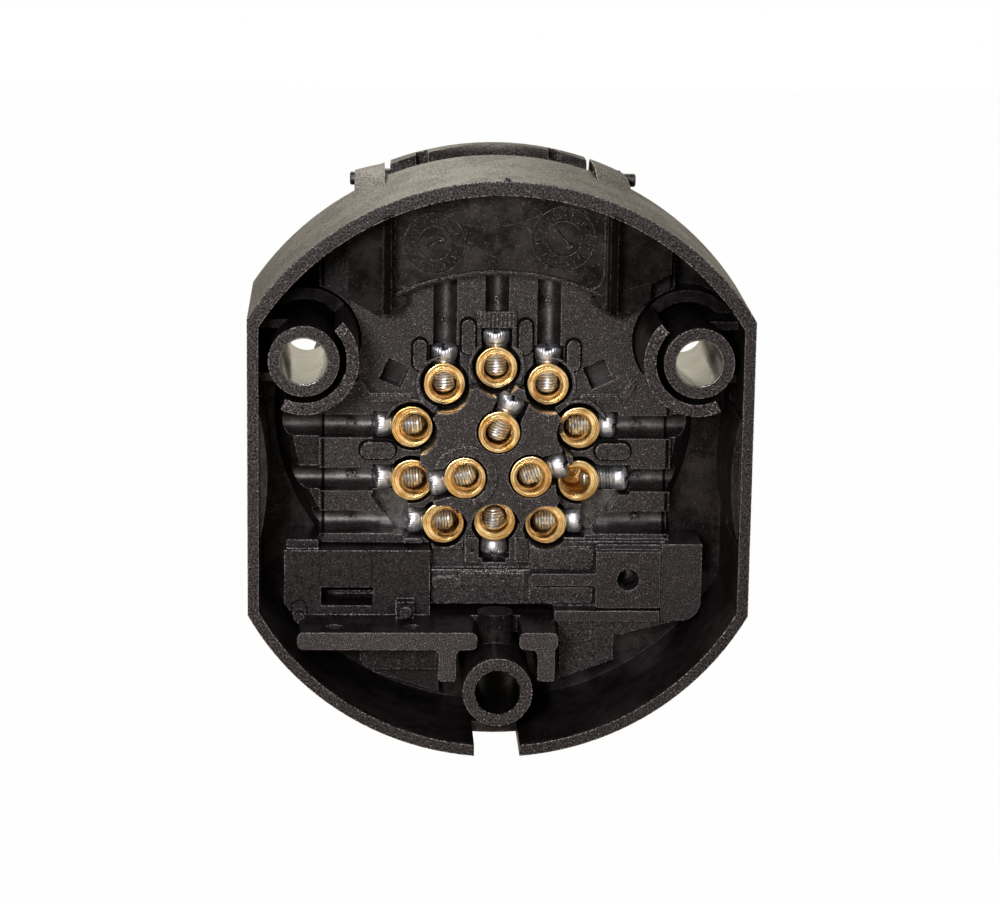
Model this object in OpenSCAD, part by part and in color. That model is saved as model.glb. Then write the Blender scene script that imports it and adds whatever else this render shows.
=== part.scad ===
// Thirteen-pole trailer socket: moulded housing, contact carrier, clamp contacts and sprung lid.
// X runs across the socket, Y forward from the mounting rim to the lid, Z up, with the plug axis at zero.

/* [Housing] */
// Width across the two flat sides of the housing
shell_w = 72; // [70:0.5:76]
// Radius of the domed top of the housing
top_r = 42.7; // [42:0.1:45]
// Radius of the rounded underside of the housing
base_r = 41.2; // [40.5:0.1:43]
// Depth from the mounting rim to the face of the front wall
shell_depth = 26.5; // [25:0.5:29]
// Radius that the dome's outside gains from the rim to the front wall
dome_draft = 0.6; // [0:0.1:0.8]
// Wall of the housing
shell_wall = 1.6; // [1.2:0.1:1.8]
// Extra thickness of the wall in the domed top
dome_extra = 0.4; // [0:0.1:0.6]
// Thickness of the front wall
front_wall = 2.5; // [2:0.1:3]
// Thickness of the ribs and webs inside the housing
rib_t = 1.2; // [0.8:0.1:1.4]
// Distance from the rim back to the wall under the dome
roof_depth = 12; // [10:0.5:14]
// Width of the drain notch in the rim
drain_w = 6.6; // [4:0.2:8]

/* [Mounting bolts] */
// Distance between any two of the three bolts
bolt_pitch = 56; // [55:0.1:57]
// Height of the upper bolts above the plug axis
bolt_rise = 17; // [16:0.1:18]
// Bore for each bolt
bolt_bore = 6.6; // [5.4:0.1:7]
// Outside diameter of each boss
boss_d = 10.1; // [9.4:0.1:10.6]
// Gap between an upper boss and the curved rib around it
crescent_gap = 1.05; // [0.8:0.05:1.3]
// Thickness of the curved rib around an upper boss
crescent_t = 1.7; // [1.3:0.1:2]

/* [Plug receptacle] */
// Bore of the collar that takes the plug
collar_bore = 44.4; // [43.6:0.1:45.2]
// Wall of the collar
collar_wall = 2.4; // [2:0.1:2.8]
// Length of the collar in front of the front wall
collar_len = 20; // [18:0.5:22]
// Diameter of the contact tower inside the collar
tower_d = 34.6; // [34.2:0.1:35]
// Distance of the tower's face behind the rim of the collar
tower_set = 3.5; // [2.5:0.5:5]
// Width of the coding groove under the tower
key_w = 4; // [3:0.5:5]
// Depth of the coding groove
key_depth = 1.6; // [1:0.1:2]

/* [Contacts] */
// Radius of the ring of contacts
ring_r = 13; // [12.8:0.05:13.1]
// Distance of the lowest contact below the plug axis
low_contact = 10.2; // [10:0.1:10.4]
// Outside diameter of a contact at its clamp
clamp_d = 6.1; // [5.8:0.05:6.2]
// Bore for the wire
wire_bore = 3.8; // [3.6:0.1:4]
// Depth of the bore for the wire
wire_depth = 7; // [6:0.5:7.5]
// Length of the clamp end of a contact
clamp_len = 8.5; // [8:0.1:9]
// Outside diameter of the sleeve that takes a pin
sleeve_d = 3.6; // [3.2:0.1:3.8]
// Bore of the sleeve
pin_bore = 2.3; // [2:0.1:2.6]
// Gap all round an outer contact in its pocket
pocket_gap = 0.6; // [0.5:0.05:0.8]
// Gap all round an inner contact in its pocket
inner_gap = 0.3; // [0.2:0.05:0.35]
// Distance that a contact stands proud of the carrier
contact_proud = 0.5; // [0:0.1:0.8]
// Thread diameter of a clamp screw
screw_d = 3; // [2.6:0.1:3.2]
// Diameter of a clamp screw's head
head_d = 4; // [3.6:0.1:4.2]
// Length of a clamp screw's head
head_len = 2.4; // [2:0.1:2.6]
// Distance that the three inner contacts stand out past the ring
inner_lift = 5; // [4.9:0.1:5.4]
// Distance from a contact's end to its clamp screw
screw_set = 2.8; // [2.5:0.1:3.1]
// Distance that the two loosened screws stand out
screw_out = 2; // [1:0.1:2.2]

/* [Contact carrier] */
// Width of the carrier
carrier_w = 52; // [51:0.2:53]
// Thickness of the carrier's plate
carrier_t = 6; // [5.8:0.1:6.6]
// Radius of the raised hub between the contacts
hub_r = 11.2; // [10.8:0.1:11.4]
// Width of the screwdriver channels
channel_w = 3.5; // [3:0.1:3.8]
// Height of the raised bars on the carrier
bar_h = 0.9; // [0.5:0.1:1.2]
// Width of the raised bars on the carrier
bar_w = 1.9; // [1.4:0.1:2]

/* [Switch cover] */
// Width of the switch cover
cover_w = 21.5; // [20.5:0.1:21.8]
// Height of the switch cover
cover_h = 10.7; // [10:0.1:11]
// Distance of the cover's face in front of the carrier's face
cover_step = 4; // [3:0.1:5]
// Wall of the cover
cover_wall = 1.4; // [1:0.1:1.6]
// Thickness of the wiring shelf
shelf_t = 2.6; // [2.2:0.1:2.8]
// Distance that the shelf stands out from the cover's face
shelf_reach = 10; // [8:0.5:11]

/* [Latch plate] */
// Width of the latch plate
latch_w = 9.6; // [9.2:0.1:10]
// Height of the latch plate
latch_h = 9.4; // [9:0.1:9.6]
// Hole in the latch plate
latch_hole = 3.3; // [2.6:0.1:3.6]
// Depth of the hole behind the latch plate, in the carrier
latch_bore = 5; // [2:0.5:6]
// Height of the sprung arm of the latch plate
arm_h = 1.8; // [1.5:0.1:2]

/* [Lid and hinge] */
// Radius of the round part of the lid
lid_r = 29; // [28.6:0.1:29.4]
// Thickness of the lid
lid_t = 2.2; // [1.8:0.1:2.6]
// Length of the lid's skirt
skirt_len = 8; // [6:0.5:9]
// Distance of the hinge pin below the top of the dome
hinge_sink = 4; // [3.8:0.1:4.4]
// Distance of the hinge pin in front of the front wall
hinge_reach = 7.8; // [7.6:0.1:8.4]
// Diameter of the hinge pin
pin_d = 3; // [2.6:0.1:3.2]
// Running gap between the pin and the lid
pin_gap = 0.05; // [0.03:0.01:0.1]
// Thickness of the rubber seal in the lid
seal_t = 1.8; // [1.4:0.1:2.2]
// Width of the rubber seal
seal_w = 4; // [3:0.2:4.4]
// Wire diameter of the lid spring
spring_wire = 0.9; // [0.7:0.1:1]
// Number of turns in the lid spring
spring_turns = 9; // [6:1:10]

/* [Hidden] */
$fn = 64;
bite = 0.6;
play = 0.3;
touch = 0.02;
root_step = 0.9;
past = 1;

wall_y = shell_depth - front_wall;
face_y = wall_y - carrier_t;
tip_y = face_y - contact_proud;
screw_y = tip_y + screw_set;
seat_y = tip_y + clamp_len;
cover_y = face_y - cover_step;
inner_x = shell_w / 2 - shell_wall;
dome_r = top_r - shell_wall - dome_extra;
keel_r = base_r - shell_wall;
boss_r = boss_d / 2;
crescent_in = boss_r + crescent_gap;
crescent_out = crescent_in + crescent_t;
upper_bolts = [[-bolt_pitch / 2, bolt_rise], [bolt_pitch / 2, bolt_rise]];
bolt_drop = bolt_pitch * sqrt(3) / 2 - bolt_rise;
lower_bolt = [0, -bolt_drop];

collar_r = collar_bore / 2 + collar_wall;
collar_y = shell_depth + collar_len;
tower_y = collar_y - tower_set;
root_r = tower_d / 2 + root_step;
hub_y = face_y - inner_lift;
head_gap = 0.3;
head_start = clamp_d / 2 + 0.05;

ring_count = 10;
inner_count = 3;
contact_count = ring_count + inner_count;
lowest = 5;
inner_reach = [4.3, 5.3, 5.6];
inner_turn = [86, 209, 335];
screw_turn = [90, 90, 180, 180, 180, 270, 0, 0, 0, 90, 66, 195, 17];
loosened = 7;

// Place of each contact, round the ring from the top and then the three inside it
function reach_of(i) = i < ring_count ? (i == lowest ? low_contact : ring_r) : inner_reach[i - ring_count];
function turn_of(i) = i < ring_count ? 90 + i * 360 / ring_count : inner_turn[i - ring_count];
function place(i) = reach_of(i) * [cos(turn_of(i)), sin(turn_of(i))];
function lift_of(i) = i < ring_count ? 0 : inner_lift;
function pocket_of(i) = clamp_d / 2 + (i < ring_count ? pocket_gap : inner_gap);
function screw_shift(i) = i == loosened ? screw_out : 0;

hood_over = 1.5;
hinge_z = top_r - hinge_sink;
hinge = [shell_depth + hinge_reach, hinge_z];
arch_r = top_r + hood_over;
ear_l = [-21, -16.5];
ear_r = [14.4, 19.6];
knuckle_l = [-15.6, -11.9];
knuckle_r = [9.6, 13.6];
hood = [-10.1, 7.9];
hood_r = arch_r - hinge_z;
hood_t = 1.9;
arch_fall = 4;
ear_radius = 3.2;
ear_foot = 1.5;
knuckle_radius = 4.8;
seal_gap = 0.2;
lid_y = collar_y + seal_gap + seal_t;

// A flat shape drawn in X and Z, carried along Y from one depth to another
module slab(from, to) {
    translate([0, to, 0]) rotate([90, 0, 0]) linear_extrude(to - from) children();
}

// A rectangle given by its low and high corners
module pane(low, high) {
    translate(low) square(high - low);
}

// A rectangle between any two opposite corners
module block(a, b) {
    pane([min(a[0], b[0]), min(a[1], b[1])], [max(a[0], b[0]), max(a[1], b[1])]);
}

// A rectangle with rounded corners, given by its low and high corners
module soft_pane(low, high, round) {
    pane([low[0] + round, low[1]], [high[0] - round, high[1]]);
    pane([low[0], low[1] + round], [high[0], high[1] - round]);
    for (x = [low[0] + round, high[0] - round]) for (z = [low[1] + round, high[1] - round])
        translate([x, z]) circle(round);
}

// Fillet in the corner at a point, opening towards the signs of side
module fillet(at, round, side) {
    difference() {
        block(at - side * round / 4, at + side * round);
        translate(at + round * side) circle(round);
    }
}

// A bar with round ends, from one point to another
module oblong(a, b, width) {
    d = b - a;
    turn = atan2(d[1], d[0]);
    translate(a) circle(d = width);
    translate(b) circle(d = width);
    translate(a) rotate(turn) translate([0, -width / 2]) square([norm(d), width]);
}

// A bar with square ends that run a little past both points
module bar(a, b, width) {
    d = b - a;
    reach = width / 4;
    translate(a) rotate(atan2(d[1], d[0])) translate([-reach, -width / 2])
        square([norm(d) + 2 * reach, width]);
}

// A round bar along Y
module rod(at, radius, from, to) {
    slab(from, to) translate(at) circle(radius);
}

// A round bar along X, placed by its Y and Z
module cross_rod(at, radius, from, to) {
    translate([from, at[0], at[1]]) rotate([0, 90, 0]) cylinder(r = radius, h = to - from);
}

// A shape drawn in Y and Z, carried along X
module cross_slab(from, to) {
    translate([from, 0, 0]) rotate([90, 0, 90]) linear_extrude(to - from) children();
}

// Everything inside a circle round the plug axis, above the axis or below it
module half_disc(radius, upper) {
    intersection() {
        circle(radius, $fn = 160);
        translate([-radius, upper ? 0 : -radius]) square([2 * radius, radius]);
    }
}

module outline(width, upper_r, lower_r) {
    intersection() {
        union() {
            half_disc(upper_r, true);
            half_disc(lower_r, false);
        }
        translate([-width / 2, -lower_r]) square([width, upper_r + lower_r]);
    }
}

module shell_outline() { outline(shell_w, top_r, base_r); }
module inner_outline() { outline(2 * inner_x, dome_r, keel_r); }

// Part of a ring between two angles, both measured from +X
module arc_band(inner, outer, start, end) {
    steps = ceil((end - start) / 30);
    reach = outer * 1.3;
    intersection() {
        difference() {
            circle(outer);
            circle(inner);
        }
        polygon(concat([[0, 0]], [for (k = [0:steps]) let (a = start + (end - start) * k / steps)
            reach * [cos(a), sin(a)]]));
    }
}

// Outside of the dome, a little wider at the front wall than at the rim
module dome_form() {
    wide_r = top_r + dome_draft;
    intersection() {
        rotate([-90, 0, 0]) cylinder(r1 = top_r, r2 = wide_r, h = shell_depth, $fn = 160);
        slab(0, shell_depth) pane([-shell_w / 2, 0], [shell_w / 2, wide_r]);
    }
}

// Shell and front wall in one, open at the back
module shell() {
    difference() {
        union() {
            slab(0, shell_depth) shell_outline();
            dome_form();
        }
        slab(-past, wall_y) inner_outline();
    }
}

bolt_seat = 0.8;
boss_rib = 3.9;
boss_rib_y = 9;
crescent_set = 0.6;
crescent_span = [-115, 45];
crescent_rest = 165;
crescent_drop = 17;
crescent_lap = 5;

// Curved rib round an upper boss, open towards the side wall, and lower over the top of the boss
module crescent(side) {
    translate([side * bolt_pitch / 2, 0, bolt_rise]) mirror([side > 0 ? 1 : 0, 0, 0]) {
        slab(crescent_set, wall_y + bite)
            arc_band(crescent_in, crescent_out, crescent_span[0], crescent_span[1]);
        slab(crescent_drop, wall_y + bite)
            arc_band(crescent_in, crescent_out, crescent_span[1] - crescent_lap, crescent_rest);
    }
}

module upper_boss(side) {
    at = [side * bolt_pitch / 2, bolt_rise];
    rod(at, boss_r, 0, shell_depth + bolt_seat);
    crescent(side);
    slab(boss_rib_y, wall_y + bite) intersection() {
        shell_outline();
        for (dz = [boss_rib, -boss_rib])
            block([at[0], at[1] + dz - rib_t / 2], [side * shell_w / 2, at[1] + dz + rib_t / 2]);
    }
}

keel_rib_w = 3;
keel_rib_y = 7;
drain_top = keel_r - 0.6;
drain_len = 12;
post_r = 2.6;
post_y = 11;
post_top = 4.2;

// Lower boss with its web to the shell and the short post on top of it
module lower_boss() {
    rod(lower_bolt, boss_r, 0, shell_depth + bolt_seat);
    slab(keel_rib_y, wall_y + bite) intersection() {
        shell_outline();
        pane([-keel_rib_w / 2, -base_r], [keel_rib_w / 2, -bolt_drop]);
    }
    translate([0, post_y, -bolt_drop]) cylinder(r = post_r, h = boss_r + post_top);
}

roof_t = 1.5;
fin_x = 16.2;
fin_depth = 7;
arch_low = 27.6;
arch_span_r = 34.7;
fin_low = 22.6;
eave = [[22, 26.4], [25, 27.8]];

// Wall under the dome, with an arched lower edge, two fins and sloping eaves
module roof() {
    slab(roof_depth, roof_depth + roof_t) intersection() {
        shell_outline();
        difference() {
            pane([-fin_x, 0], [fin_x, top_r]);
            translate([0, arch_low - arch_span_r]) circle(arch_span_r, $fn = 120);
        }
    }
    slab(roof_depth + roof_t / 2, roof_depth + 2 * roof_t) intersection() {
        shell_outline();
        union() {
            polygon([[-fin_x, fin_low + play], [-eave[0][0], eave[0][1]], [-eave[0][0], top_r],
                [-fin_x, top_r]]);
            polygon([[fin_x, fin_low + play], [eave[1][0], eave[1][1]], [eave[1][0], top_r], [fin_x, top_r]]);
        }
    }
    slab(fin_depth, wall_y - carrier_t - play) intersection() {
        shell_outline();
        for (x = [-fin_x, fin_x])
            pane([x - rib_t / 2, fin_low], [x + rib_t / 2, top_r]);
    }
}

pad_top = 8.5;
pad_low = -9;
pad_h = 1.2;
pad_r = 38;
pad_y = [1.5, 20];
notch_h = 1.1;
notch_len = 14.5;

// Bowed pad on a side wall, between two notches
module side_pad(side) {
    slab(pad_y[0], pad_y[1]) intersection() {
        translate([side * (inner_x + pad_r - pad_h), (pad_top + pad_low) / 2]) circle(pad_r, $fn = 120);
        block([side * (inner_x + bite), pad_low], [side * (inner_x - pad_h), pad_top]);
    }
}

module side_notches(side) {
    for (z = [pad_top, pad_low - notch_h])
        slab(pad_y[0], pad_y[0] + notch_len)
            block([side * (inner_x - past), z], [side * (inner_x + shell_wall / 3), z + notch_h]);
}

groove_depth = 1.2;
groove_len = 10;
groove_w = 4;
groove_span = [14, 40];

// Collar in front of the wall, with three bayonet grooves in its bore
module collar() {
    difference() {
        rod([0, 0], collar_r, wall_y + bite, collar_y);
        rod([0, 0], collar_bore / 2, shell_depth, collar_y + past);
        for (a = [30, 150, 270]) {
            slab(collar_y - groove_len, collar_y + past)
                arc_band(collar_bore / 2 - bite, collar_bore / 2 + groove_depth, a, a + groove_span[0]);
            slab(collar_y - groove_len, collar_y - groove_len + groove_w)
                arc_band(collar_bore / 2 - bite, collar_bore / 2 + groove_depth, a, a + groove_span[1]);
        }
    }
}

// Round outline that the hinge and the lid's top keep under: straight at the hinge, then falling to the front
module arch_form(set) {
    fall_y = hinge[0] + past;
    front_y = lid_y + lid_t;
    slab(shell_depth - past, fall_y) circle(arch_r - set, $fn = 160);
    translate([0, fall_y - touch, 0]) rotate([-90, 0, 0])
        cylinder(r1 = arch_r - set, r2 = arch_r - set - arch_fall, h = front_y - fall_y + past, $fn = 160);
}

module under_arch() {
    intersection() {
        children();
        arch_form(0);
    }
}

module hinge_ear(span) {
    under_arch() {
        cross_rod(hinge, ear_radius, span[0], span[1]);
        cross_slab(span[0], span[1])
            pane([shell_depth - bite, hinge_z - ear_radius - ear_foot], [hinge[0], hinge_z + ear_radius]);
    }
}

module housing() {
    color([0.13, 0.13, 0.13]) difference() {
        union() {
            shell();
            upper_boss(-1);
            upper_boss(1);
            lower_boss();
            roof();
            side_pad(-1);
            side_pad(1);
            collar();
            hinge_ear(ear_l);
            hinge_ear(ear_r);
        }
        for (at = concat(upper_bolts, [lower_bolt]))
            rod(at, bolt_bore / 2, -past, shell_depth + bolt_seat + past);
        rod([0, 0], root_r + play, wall_y - past, shell_depth + past);
        side_notches(-1);
        side_notches(1);
        slab(-past, drain_len) pane([-drain_w / 2, -base_r - past], [drain_w / 2, -drain_top]);
        cross_rod(hinge, pin_d / 2 + touch, ear_l[0] - past, ear_r[1] + past);
    }
}

plate_top = 33;
plate_low = 13.6;
flange_r = 31.3;
flange_in = 28.6;
flange_at = [-1.5, 6];
flange_t = 4.5;
lip_w = 1;

// Outline of the carrier's plate
module plate_outline() {
    intersection() {
        pane([-carrier_w / 2, -plate_low], [carrier_w / 2, plate_top]);
        circle(dome_r - play * 4, $fn = 120);
    }
}

// Flared flange that seats the carrier on the front wall
module flange() {
    intersection() {
        translate([flange_at[0], wall_y - flange_t, flange_at[1]]) rotate([-90, 0, 0])
            cylinder(r1 = flange_in, r2 = flange_r, h = flange_t, $fn = 120);
        slab(0, shell_depth) pane([-shell_w, -plate_low], [shell_w, top_r]);
    }
}

// Round-bottomed slot, drawn in Y and Z
module round_slot(top, axis_y, radius) {
    translate([axis_y, 0]) circle(radius);
    translate([top, -radius]) square([axis_y - top, 2 * radius]);
}

// Opening that lets a screwdriver reach a clamp screw from the side
module screw_way(i) {
    at = place(i);
    axis_y = screw_y - lift_of(i);
    top = face_y - lift_of(i) - past;
    head_end = head_start + head_len + screw_shift(i) + head_gap;
    wide = head_d / 2 + head_gap;
    translate([at[0], 0, at[1]]) rotate([0, -screw_turn[i], 0])
        cross_slab(0, head_end) round_slot(top, axis_y, wide);
}

low_channel = 6.5;

// Channel for the screwdriver: to the plate's edge, and a short one for the lowest contact
module channel(i) {
    at = place(i);
    reach = i == lowest ? low_channel : carrier_w;
    translate([at[0], 0, at[1]]) rotate([0, -screw_turn[i], 0])
        cross_slab(0, reach) round_slot(face_y - past, screw_y, channel_w / 2);
}

bars = [
    [[-11.3, 13.6], [-11.3, 16.2]], [[11.3, 13.6], [11.3, 16.2]],
    [[-4.2, 16], [-4.2, 19.2]], [[4.2, 16], [4.2, 19.2]]
];
island_x = [16.1, 18.7];
island_z = 0.5;
island_w = 2.5;
lip_z = 8.4;
lip_x = [12.8, 18.7];
lip_end = [20.3, 10.7];
diamond_at = [15, 12];
diamond_turn = 24;
diamond_w = 3.5;
diamond_depth = 4;
low_blocks = [
    [[-13.4, -13.5], [-10.8, -12.5]], [[-9.1, -14.4], [-4.7, -13.1]],
    [[-4.3, -16.4], [-2.4, -12.6]], [[3.1, -16.4], [5, -12.6]]
];

// Bars, islands and lips standing on the carrier's face
module face_bars() {
    slab(face_y - bar_h, face_y + bite) {
        for (b = bars) oblong(b[0], b[1], bar_w);
        for (b = low_blocks) pane(b[0], b[1]);
        for (side = [-1, 1]) {
            oblong([side * island_x[0], island_z], [side * island_x[1], island_z], island_w);
            bar([side * lip_x[1], lip_z], [side * lip_x[0], lip_z], lip_w);
            bar([side * lip_end[0], lip_end[1]], [side * lip_x[1], lip_z], lip_w);
        }
    }
}

bridge_low = [-2.8, 19];
bridge_high = [2.8, 21.4];

// Lip that bridges the top middle channel
module bridge() {
    slab(face_y - bar_h, face_y + play) pane(bridge_low, bridge_high);
}

cover_gap_x = 9.3;
saddle_x = 5.3;
saddle_low = 17.4;
apron_low = 22.6;
apron_y = face_y - 1.5;
panel_h = 0.8;
panel_x = [5.3, 14.6];
upper_panel = [-17, -13.9];
lower_panel = [-22.2, -19.9];
sill = [8.9, -24.5];
sill_h = 1.6;
sill_y = face_y - 4.6;
tab_x = [24.8, 30.8];
tab_z = [-24.8, -13.1];
tab_y = face_y - 3;
tab_corner = 3;
panel_round = 0.5;
stub = [[-8.4, -19.2], [-6.1, -19.2]];
rail = [[-5.2, -19.6], [4.4, -17.7]];
brace = [[9.4, -24], [28, -24], [28, -25], [18, -27.6], [10, -28.9]];
foot = [[10, -28], [18, -26.8], [18, -31.5], [10, -34.4]];

// Lower part of the carrier, behind the switch cover and the latch plate
module apron() {
    slab(apron_y, wall_y) {
        pane([-cover_gap_x, -apron_low], [tab_x[0] + bite, -saddle_low]);
        pane([saddle_x, -saddle_low - bite], [tab_x[0] + bite, -plate_low + bite]);
        pane([sill[0], sill[1] + play], [tab_x[0] + bite, -apron_low + bite]);
    }
    slab(apron_y - panel_h, apron_y + bite) {
        soft_pane([panel_x[0], upper_panel[0]], [panel_x[1], upper_panel[1]], panel_round);
        soft_pane([panel_x[0], lower_panel[0]], [panel_x[1], lower_panel[1]], panel_round);
        oblong(stub[0], stub[1], bar_w - play);
        pane(rail[0], rail[1]);
    }
    slab(sill_y, wall_y) pane(sill, [tab_x[0] - play, sill[1] + sill_h]);
    slab(tab_y, wall_y) union() {
        pane([tab_x[0], tab_z[0] + tab_corner], [tab_x[1], tab_z[1]]);
        pane([tab_x[0], tab_z[0]], [tab_x[1] - tab_corner, tab_z[1]]);
        translate([tab_x[1] - tab_corner, tab_z[0] + tab_corner]) circle(tab_corner);
    }
    slab(apron_y, wall_y) polygon(brace);
    slab(apron_y + panel_h, wall_y) polygon(foot);
}

well_side = [[13.2, -6.2], [18.6, -6.2], [14.6, -12.4], [12, -12.4]];
well_depth = 4.5;
ridge_h = 0.7;
ridge_t = 1.3;
ridge_span = [-70, 160];
lead_depth = 2;

module contact_carrier() {
    color([0.15, 0.15, 0.15]) difference() {
        union() {
            slab(face_y, wall_y) plate_outline();
            slab(face_y, wall_y) pane([-cover_gap_x, -saddle_low - bite], [saddle_x, -plate_low + bite]);
            flange();
            rod([0, 0], tower_d / 2, wall_y - bite, tower_y);
            rod([0, 0], root_r, wall_y - bite, shell_depth);
            rod([0, 0], hub_r, hub_y, face_y + bite);
            slab(hub_y - ridge_h, face_y + bite) translate(place(ring_count + 1))
                arc_band(clamp_d / 2, clamp_d / 2 + inner_gap + ridge_t, ridge_span[0], ridge_span[1]);
            face_bars();
            apron();
        }
        for (i = [0:contact_count - 1]) {
            rod(place(i), pocket_of(i), hub_y - 2 * past, seat_y);
            rod(place(i), sleeve_d / 2 + play / 3, seat_y - past, tower_y - lead_depth);
            rod(place(i), pin_bore / 2 + play, tower_y - lead_depth - past, tower_y + past);
            screw_way(i);
        }
        for (i = [0:ring_count - 1]) channel(i);
        for (side = [-1, 1])
            slab(face_y - past, face_y + diamond_depth) translate([side * diamond_at[0], diamond_at[1]])
                rotate(side * diamond_turn) square(diamond_w, center = true);
        slab(face_y - past, face_y + well_depth) {
            polygon(well_side);
            mirror([1, 0]) polygon(well_side);
        }
        for (at = upper_bolts) rod(at, crescent_out + play, 0, shell_depth);
        rod(latch_eye, latch_hole / 2, apron_y - past, apron_y + latch_bore);
        slab(shell_depth + past, tower_y + past)
            pane([-key_w / 2, -tower_d / 2 - past], [key_w / 2, -tower_d / 2 + key_depth]);
    }
    color([0.15, 0.15, 0.15]) bridge();
}

cover_left = -31.1;
cover_top = -13.9;
cover_cut = [2, 2.6];
window = [[-25.7, -22.3], [-18, -19.5]];
shelf_gap = [-2.9, 3.3];
shelf_end = 8.9;
shelf_in = 2.1;
shelf_rise = 0.9;
shelf_back = wall_y - 4;
shelf_hole = 1.3;
shelf_holes = [-23.6, -12.3];
shelf_round = 0.9;
leg_t = 2.5;
leg_drop = 4.7;
leg_gap = 0.9;
ledge = [[0.3, 5], 1.4];
stop = [[-14.6, -12], 3.4];
stop_h = 2;
peg_x = -28.9;
peg_r = 0.8;
box_left = [-19.9, -18.6];
box_low = [-31.4, -32.8];
skid = [[-17.9, -34.2], [-8, -37.3]];

module cover_outline() {
    right = cover_left + cover_w;
    low = cover_top - cover_h;
    polygon([[cover_left, cover_top], [right, cover_top], [right, low], [cover_left + cover_cut[0], low],
        [cover_left, low + cover_cut[1]]]);
}

// Outline of the wiring shelf and of one leg at each side of the lower boss
module shelf_outline(top) {
    boss_side = boss_r + leg_gap;
    low = top - shelf_t;
    soft_pane([cover_left + shelf_in, low], [shelf_gap[0], top], shelf_round);
    soft_pane([shelf_gap[1], low], [shelf_end, top], shelf_round);
    for (side = [-1, 1]) {
        inner = side > 0 ? boss_side : -boss_side - leg_t;
        soft_pane([inner, low - leg_drop], [inner + leg_t, top], shelf_round / 2);
    }
    fillet([-boss_side - leg_t, low], shelf_round, [-1, -1]);
    fillet([-boss_side, low], shelf_round, [1, -1]);
    fillet([boss_side, low], shelf_round, [-1, -1]);
}

// Box and skid under the shelf, beside the lower boss
module cover_box(low) {
    right = -boss_r - leg_gap - leg_t + play;
    slab(apron_y, wall_y)
        polygon([[box_left[0], low + bite], [right, low + bite], [right, box_low[1]],
            [box_left[1], box_low[1]], [box_left[0], box_low[0]]]);
    slab(shelf_back, wall_y)
        polygon([[skid[0][0], box_low[1] + bite], [right, box_low[1] + bite], skid[1], skid[0]]);
}

// Block with a window and a wiring shelf, whose legs straddle the lower boss
module switch_cover() {
    low = cover_top - cover_h;
    shelf_y = cover_y - shelf_reach;
    shelf_top = low + shelf_rise;
    color([0.16, 0.16, 0.16]) difference() {
        union() {
            slab(cover_y, wall_y) cover_outline();
            slab(cover_y + past, wall_y)
                pane([cover_left + ledge[0][0], cover_top], [cover_left + ledge[0][1], cover_top + ledge[1]]);
            slab(shelf_y, shelf_back) shelf_outline(shelf_top);
            slab(post_y + post_r + play, shelf_back)
                pane([shelf_gap[0] - past, shelf_top - shelf_t], [shelf_gap[1] + past, shelf_top]);
            cover_box(shelf_top - shelf_t);
            slab(cover_y - stop_h, cover_y + bite) pane([stop[0][0], low], [stop[0][1], low + stop[1]]);
            rod([peg_x, low + shelf_rise], peg_r, cover_y - stop_h, cover_y + bite);
        }
        slab(cover_y - past, shelf_back + past) pane(window[0], window[1]);
        slab(cover_y + cover_wall, wall_y + past)
            pane([cover_left + cover_wall, low + 2 * cover_wall],
                 [cover_left + cover_w - cover_wall, cover_top - cover_wall]);
        for (x = shelf_holes)
            translate([x, shelf_y + shelf_t + shelf_hole / 2, low - 2 * shelf_t])
                cylinder(r = shelf_hole, h = 3 * shelf_t);
        keel_trim();
    }
}

// Space outside the shell's inner wall, less a small gap
module keel_trim() {
    difference() {
        rod([0, 0], base_r + 2 * past, 0, shell_depth);
        rod([0, 0], keel_r - play, -past, shell_depth + past);
    }
}

latch_x = 15;
latch_top = -13.2;
arm_z = -18.3;
arm_end = 5;
arm_set = 0.8;
latch_y = face_y - 4;
latch_lip = [0.8, 1.2];
latch_round = 0.4;
latch_share = 0.54;
latch_eye = [latch_x + latch_w / 2, latch_top - latch_h * latch_share];

// Plate with a round hole and a sprung arm, clipped over the carrier's apron
module latch_plate() {
    color([0.17, 0.17, 0.17]) difference() {
        union() {
            slab(latch_y, apron_y)
                soft_pane([latch_x, latch_top - latch_h], [latch_x + latch_w, latch_top], latch_round);
            slab(latch_y, apron_y - arm_set)
                oblong([arm_end + arm_h / 2, arm_z], [latch_x + past, arm_z], arm_h);
        }
        rod(latch_eye, latch_hole / 2, 0, shell_depth);
        slab(latch_y - past, apron_y - latch_lip[1])
            pane([latch_x - past, latch_top - latch_lip[0]], [latch_x + latch_w + past, latch_top + past]);
    }
}

slit_w = 0.4;
slit_from = 4;
sleeve_floor = 1.5;
sleeve_set = 0.3;

// Turned contact: a clamp end for the wire and a slit sleeve for the pin
module contact(i) {
    lift = lift_of(i);
    tip = tip_y - lift;
    sleeve_end = tower_y - lead_depth - sleeve_set;
    color([0.78, 0.58, 0.28]) translate([place(i)[0], 0, place(i)[1]]) difference() {
        union() {
            rod([0, 0], clamp_d / 2, tip, seat_y);
            rod([0, 0], sleeve_d / 2, seat_y - past, sleeve_end);
        }
        rod([0, 0], wire_bore / 2, tip - past, tip + wire_depth);
        rod([0, 0], pin_bore / 2, seat_y + sleeve_floor, sleeve_end + past);
        slab(seat_y + slit_from, sleeve_end + past) pane([-sleeve_d, -slit_w / 2], [sleeve_d, slit_w / 2]);
        translate([0, tip + screw_set, 0]) rotate([0, -screw_turn[i], 0]) rotate([0, 90, 0])
            cylinder(r = screw_d / 2 + touch, h = clamp_d);
    }
}

tip_gap = 0.1;
screw_tip = sqrt(pow(wire_bore / 2 - tip_gap, 2) - pow(screw_d / 2, 2));
slot_w = 0.7;
slot_depth = 1;

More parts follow.
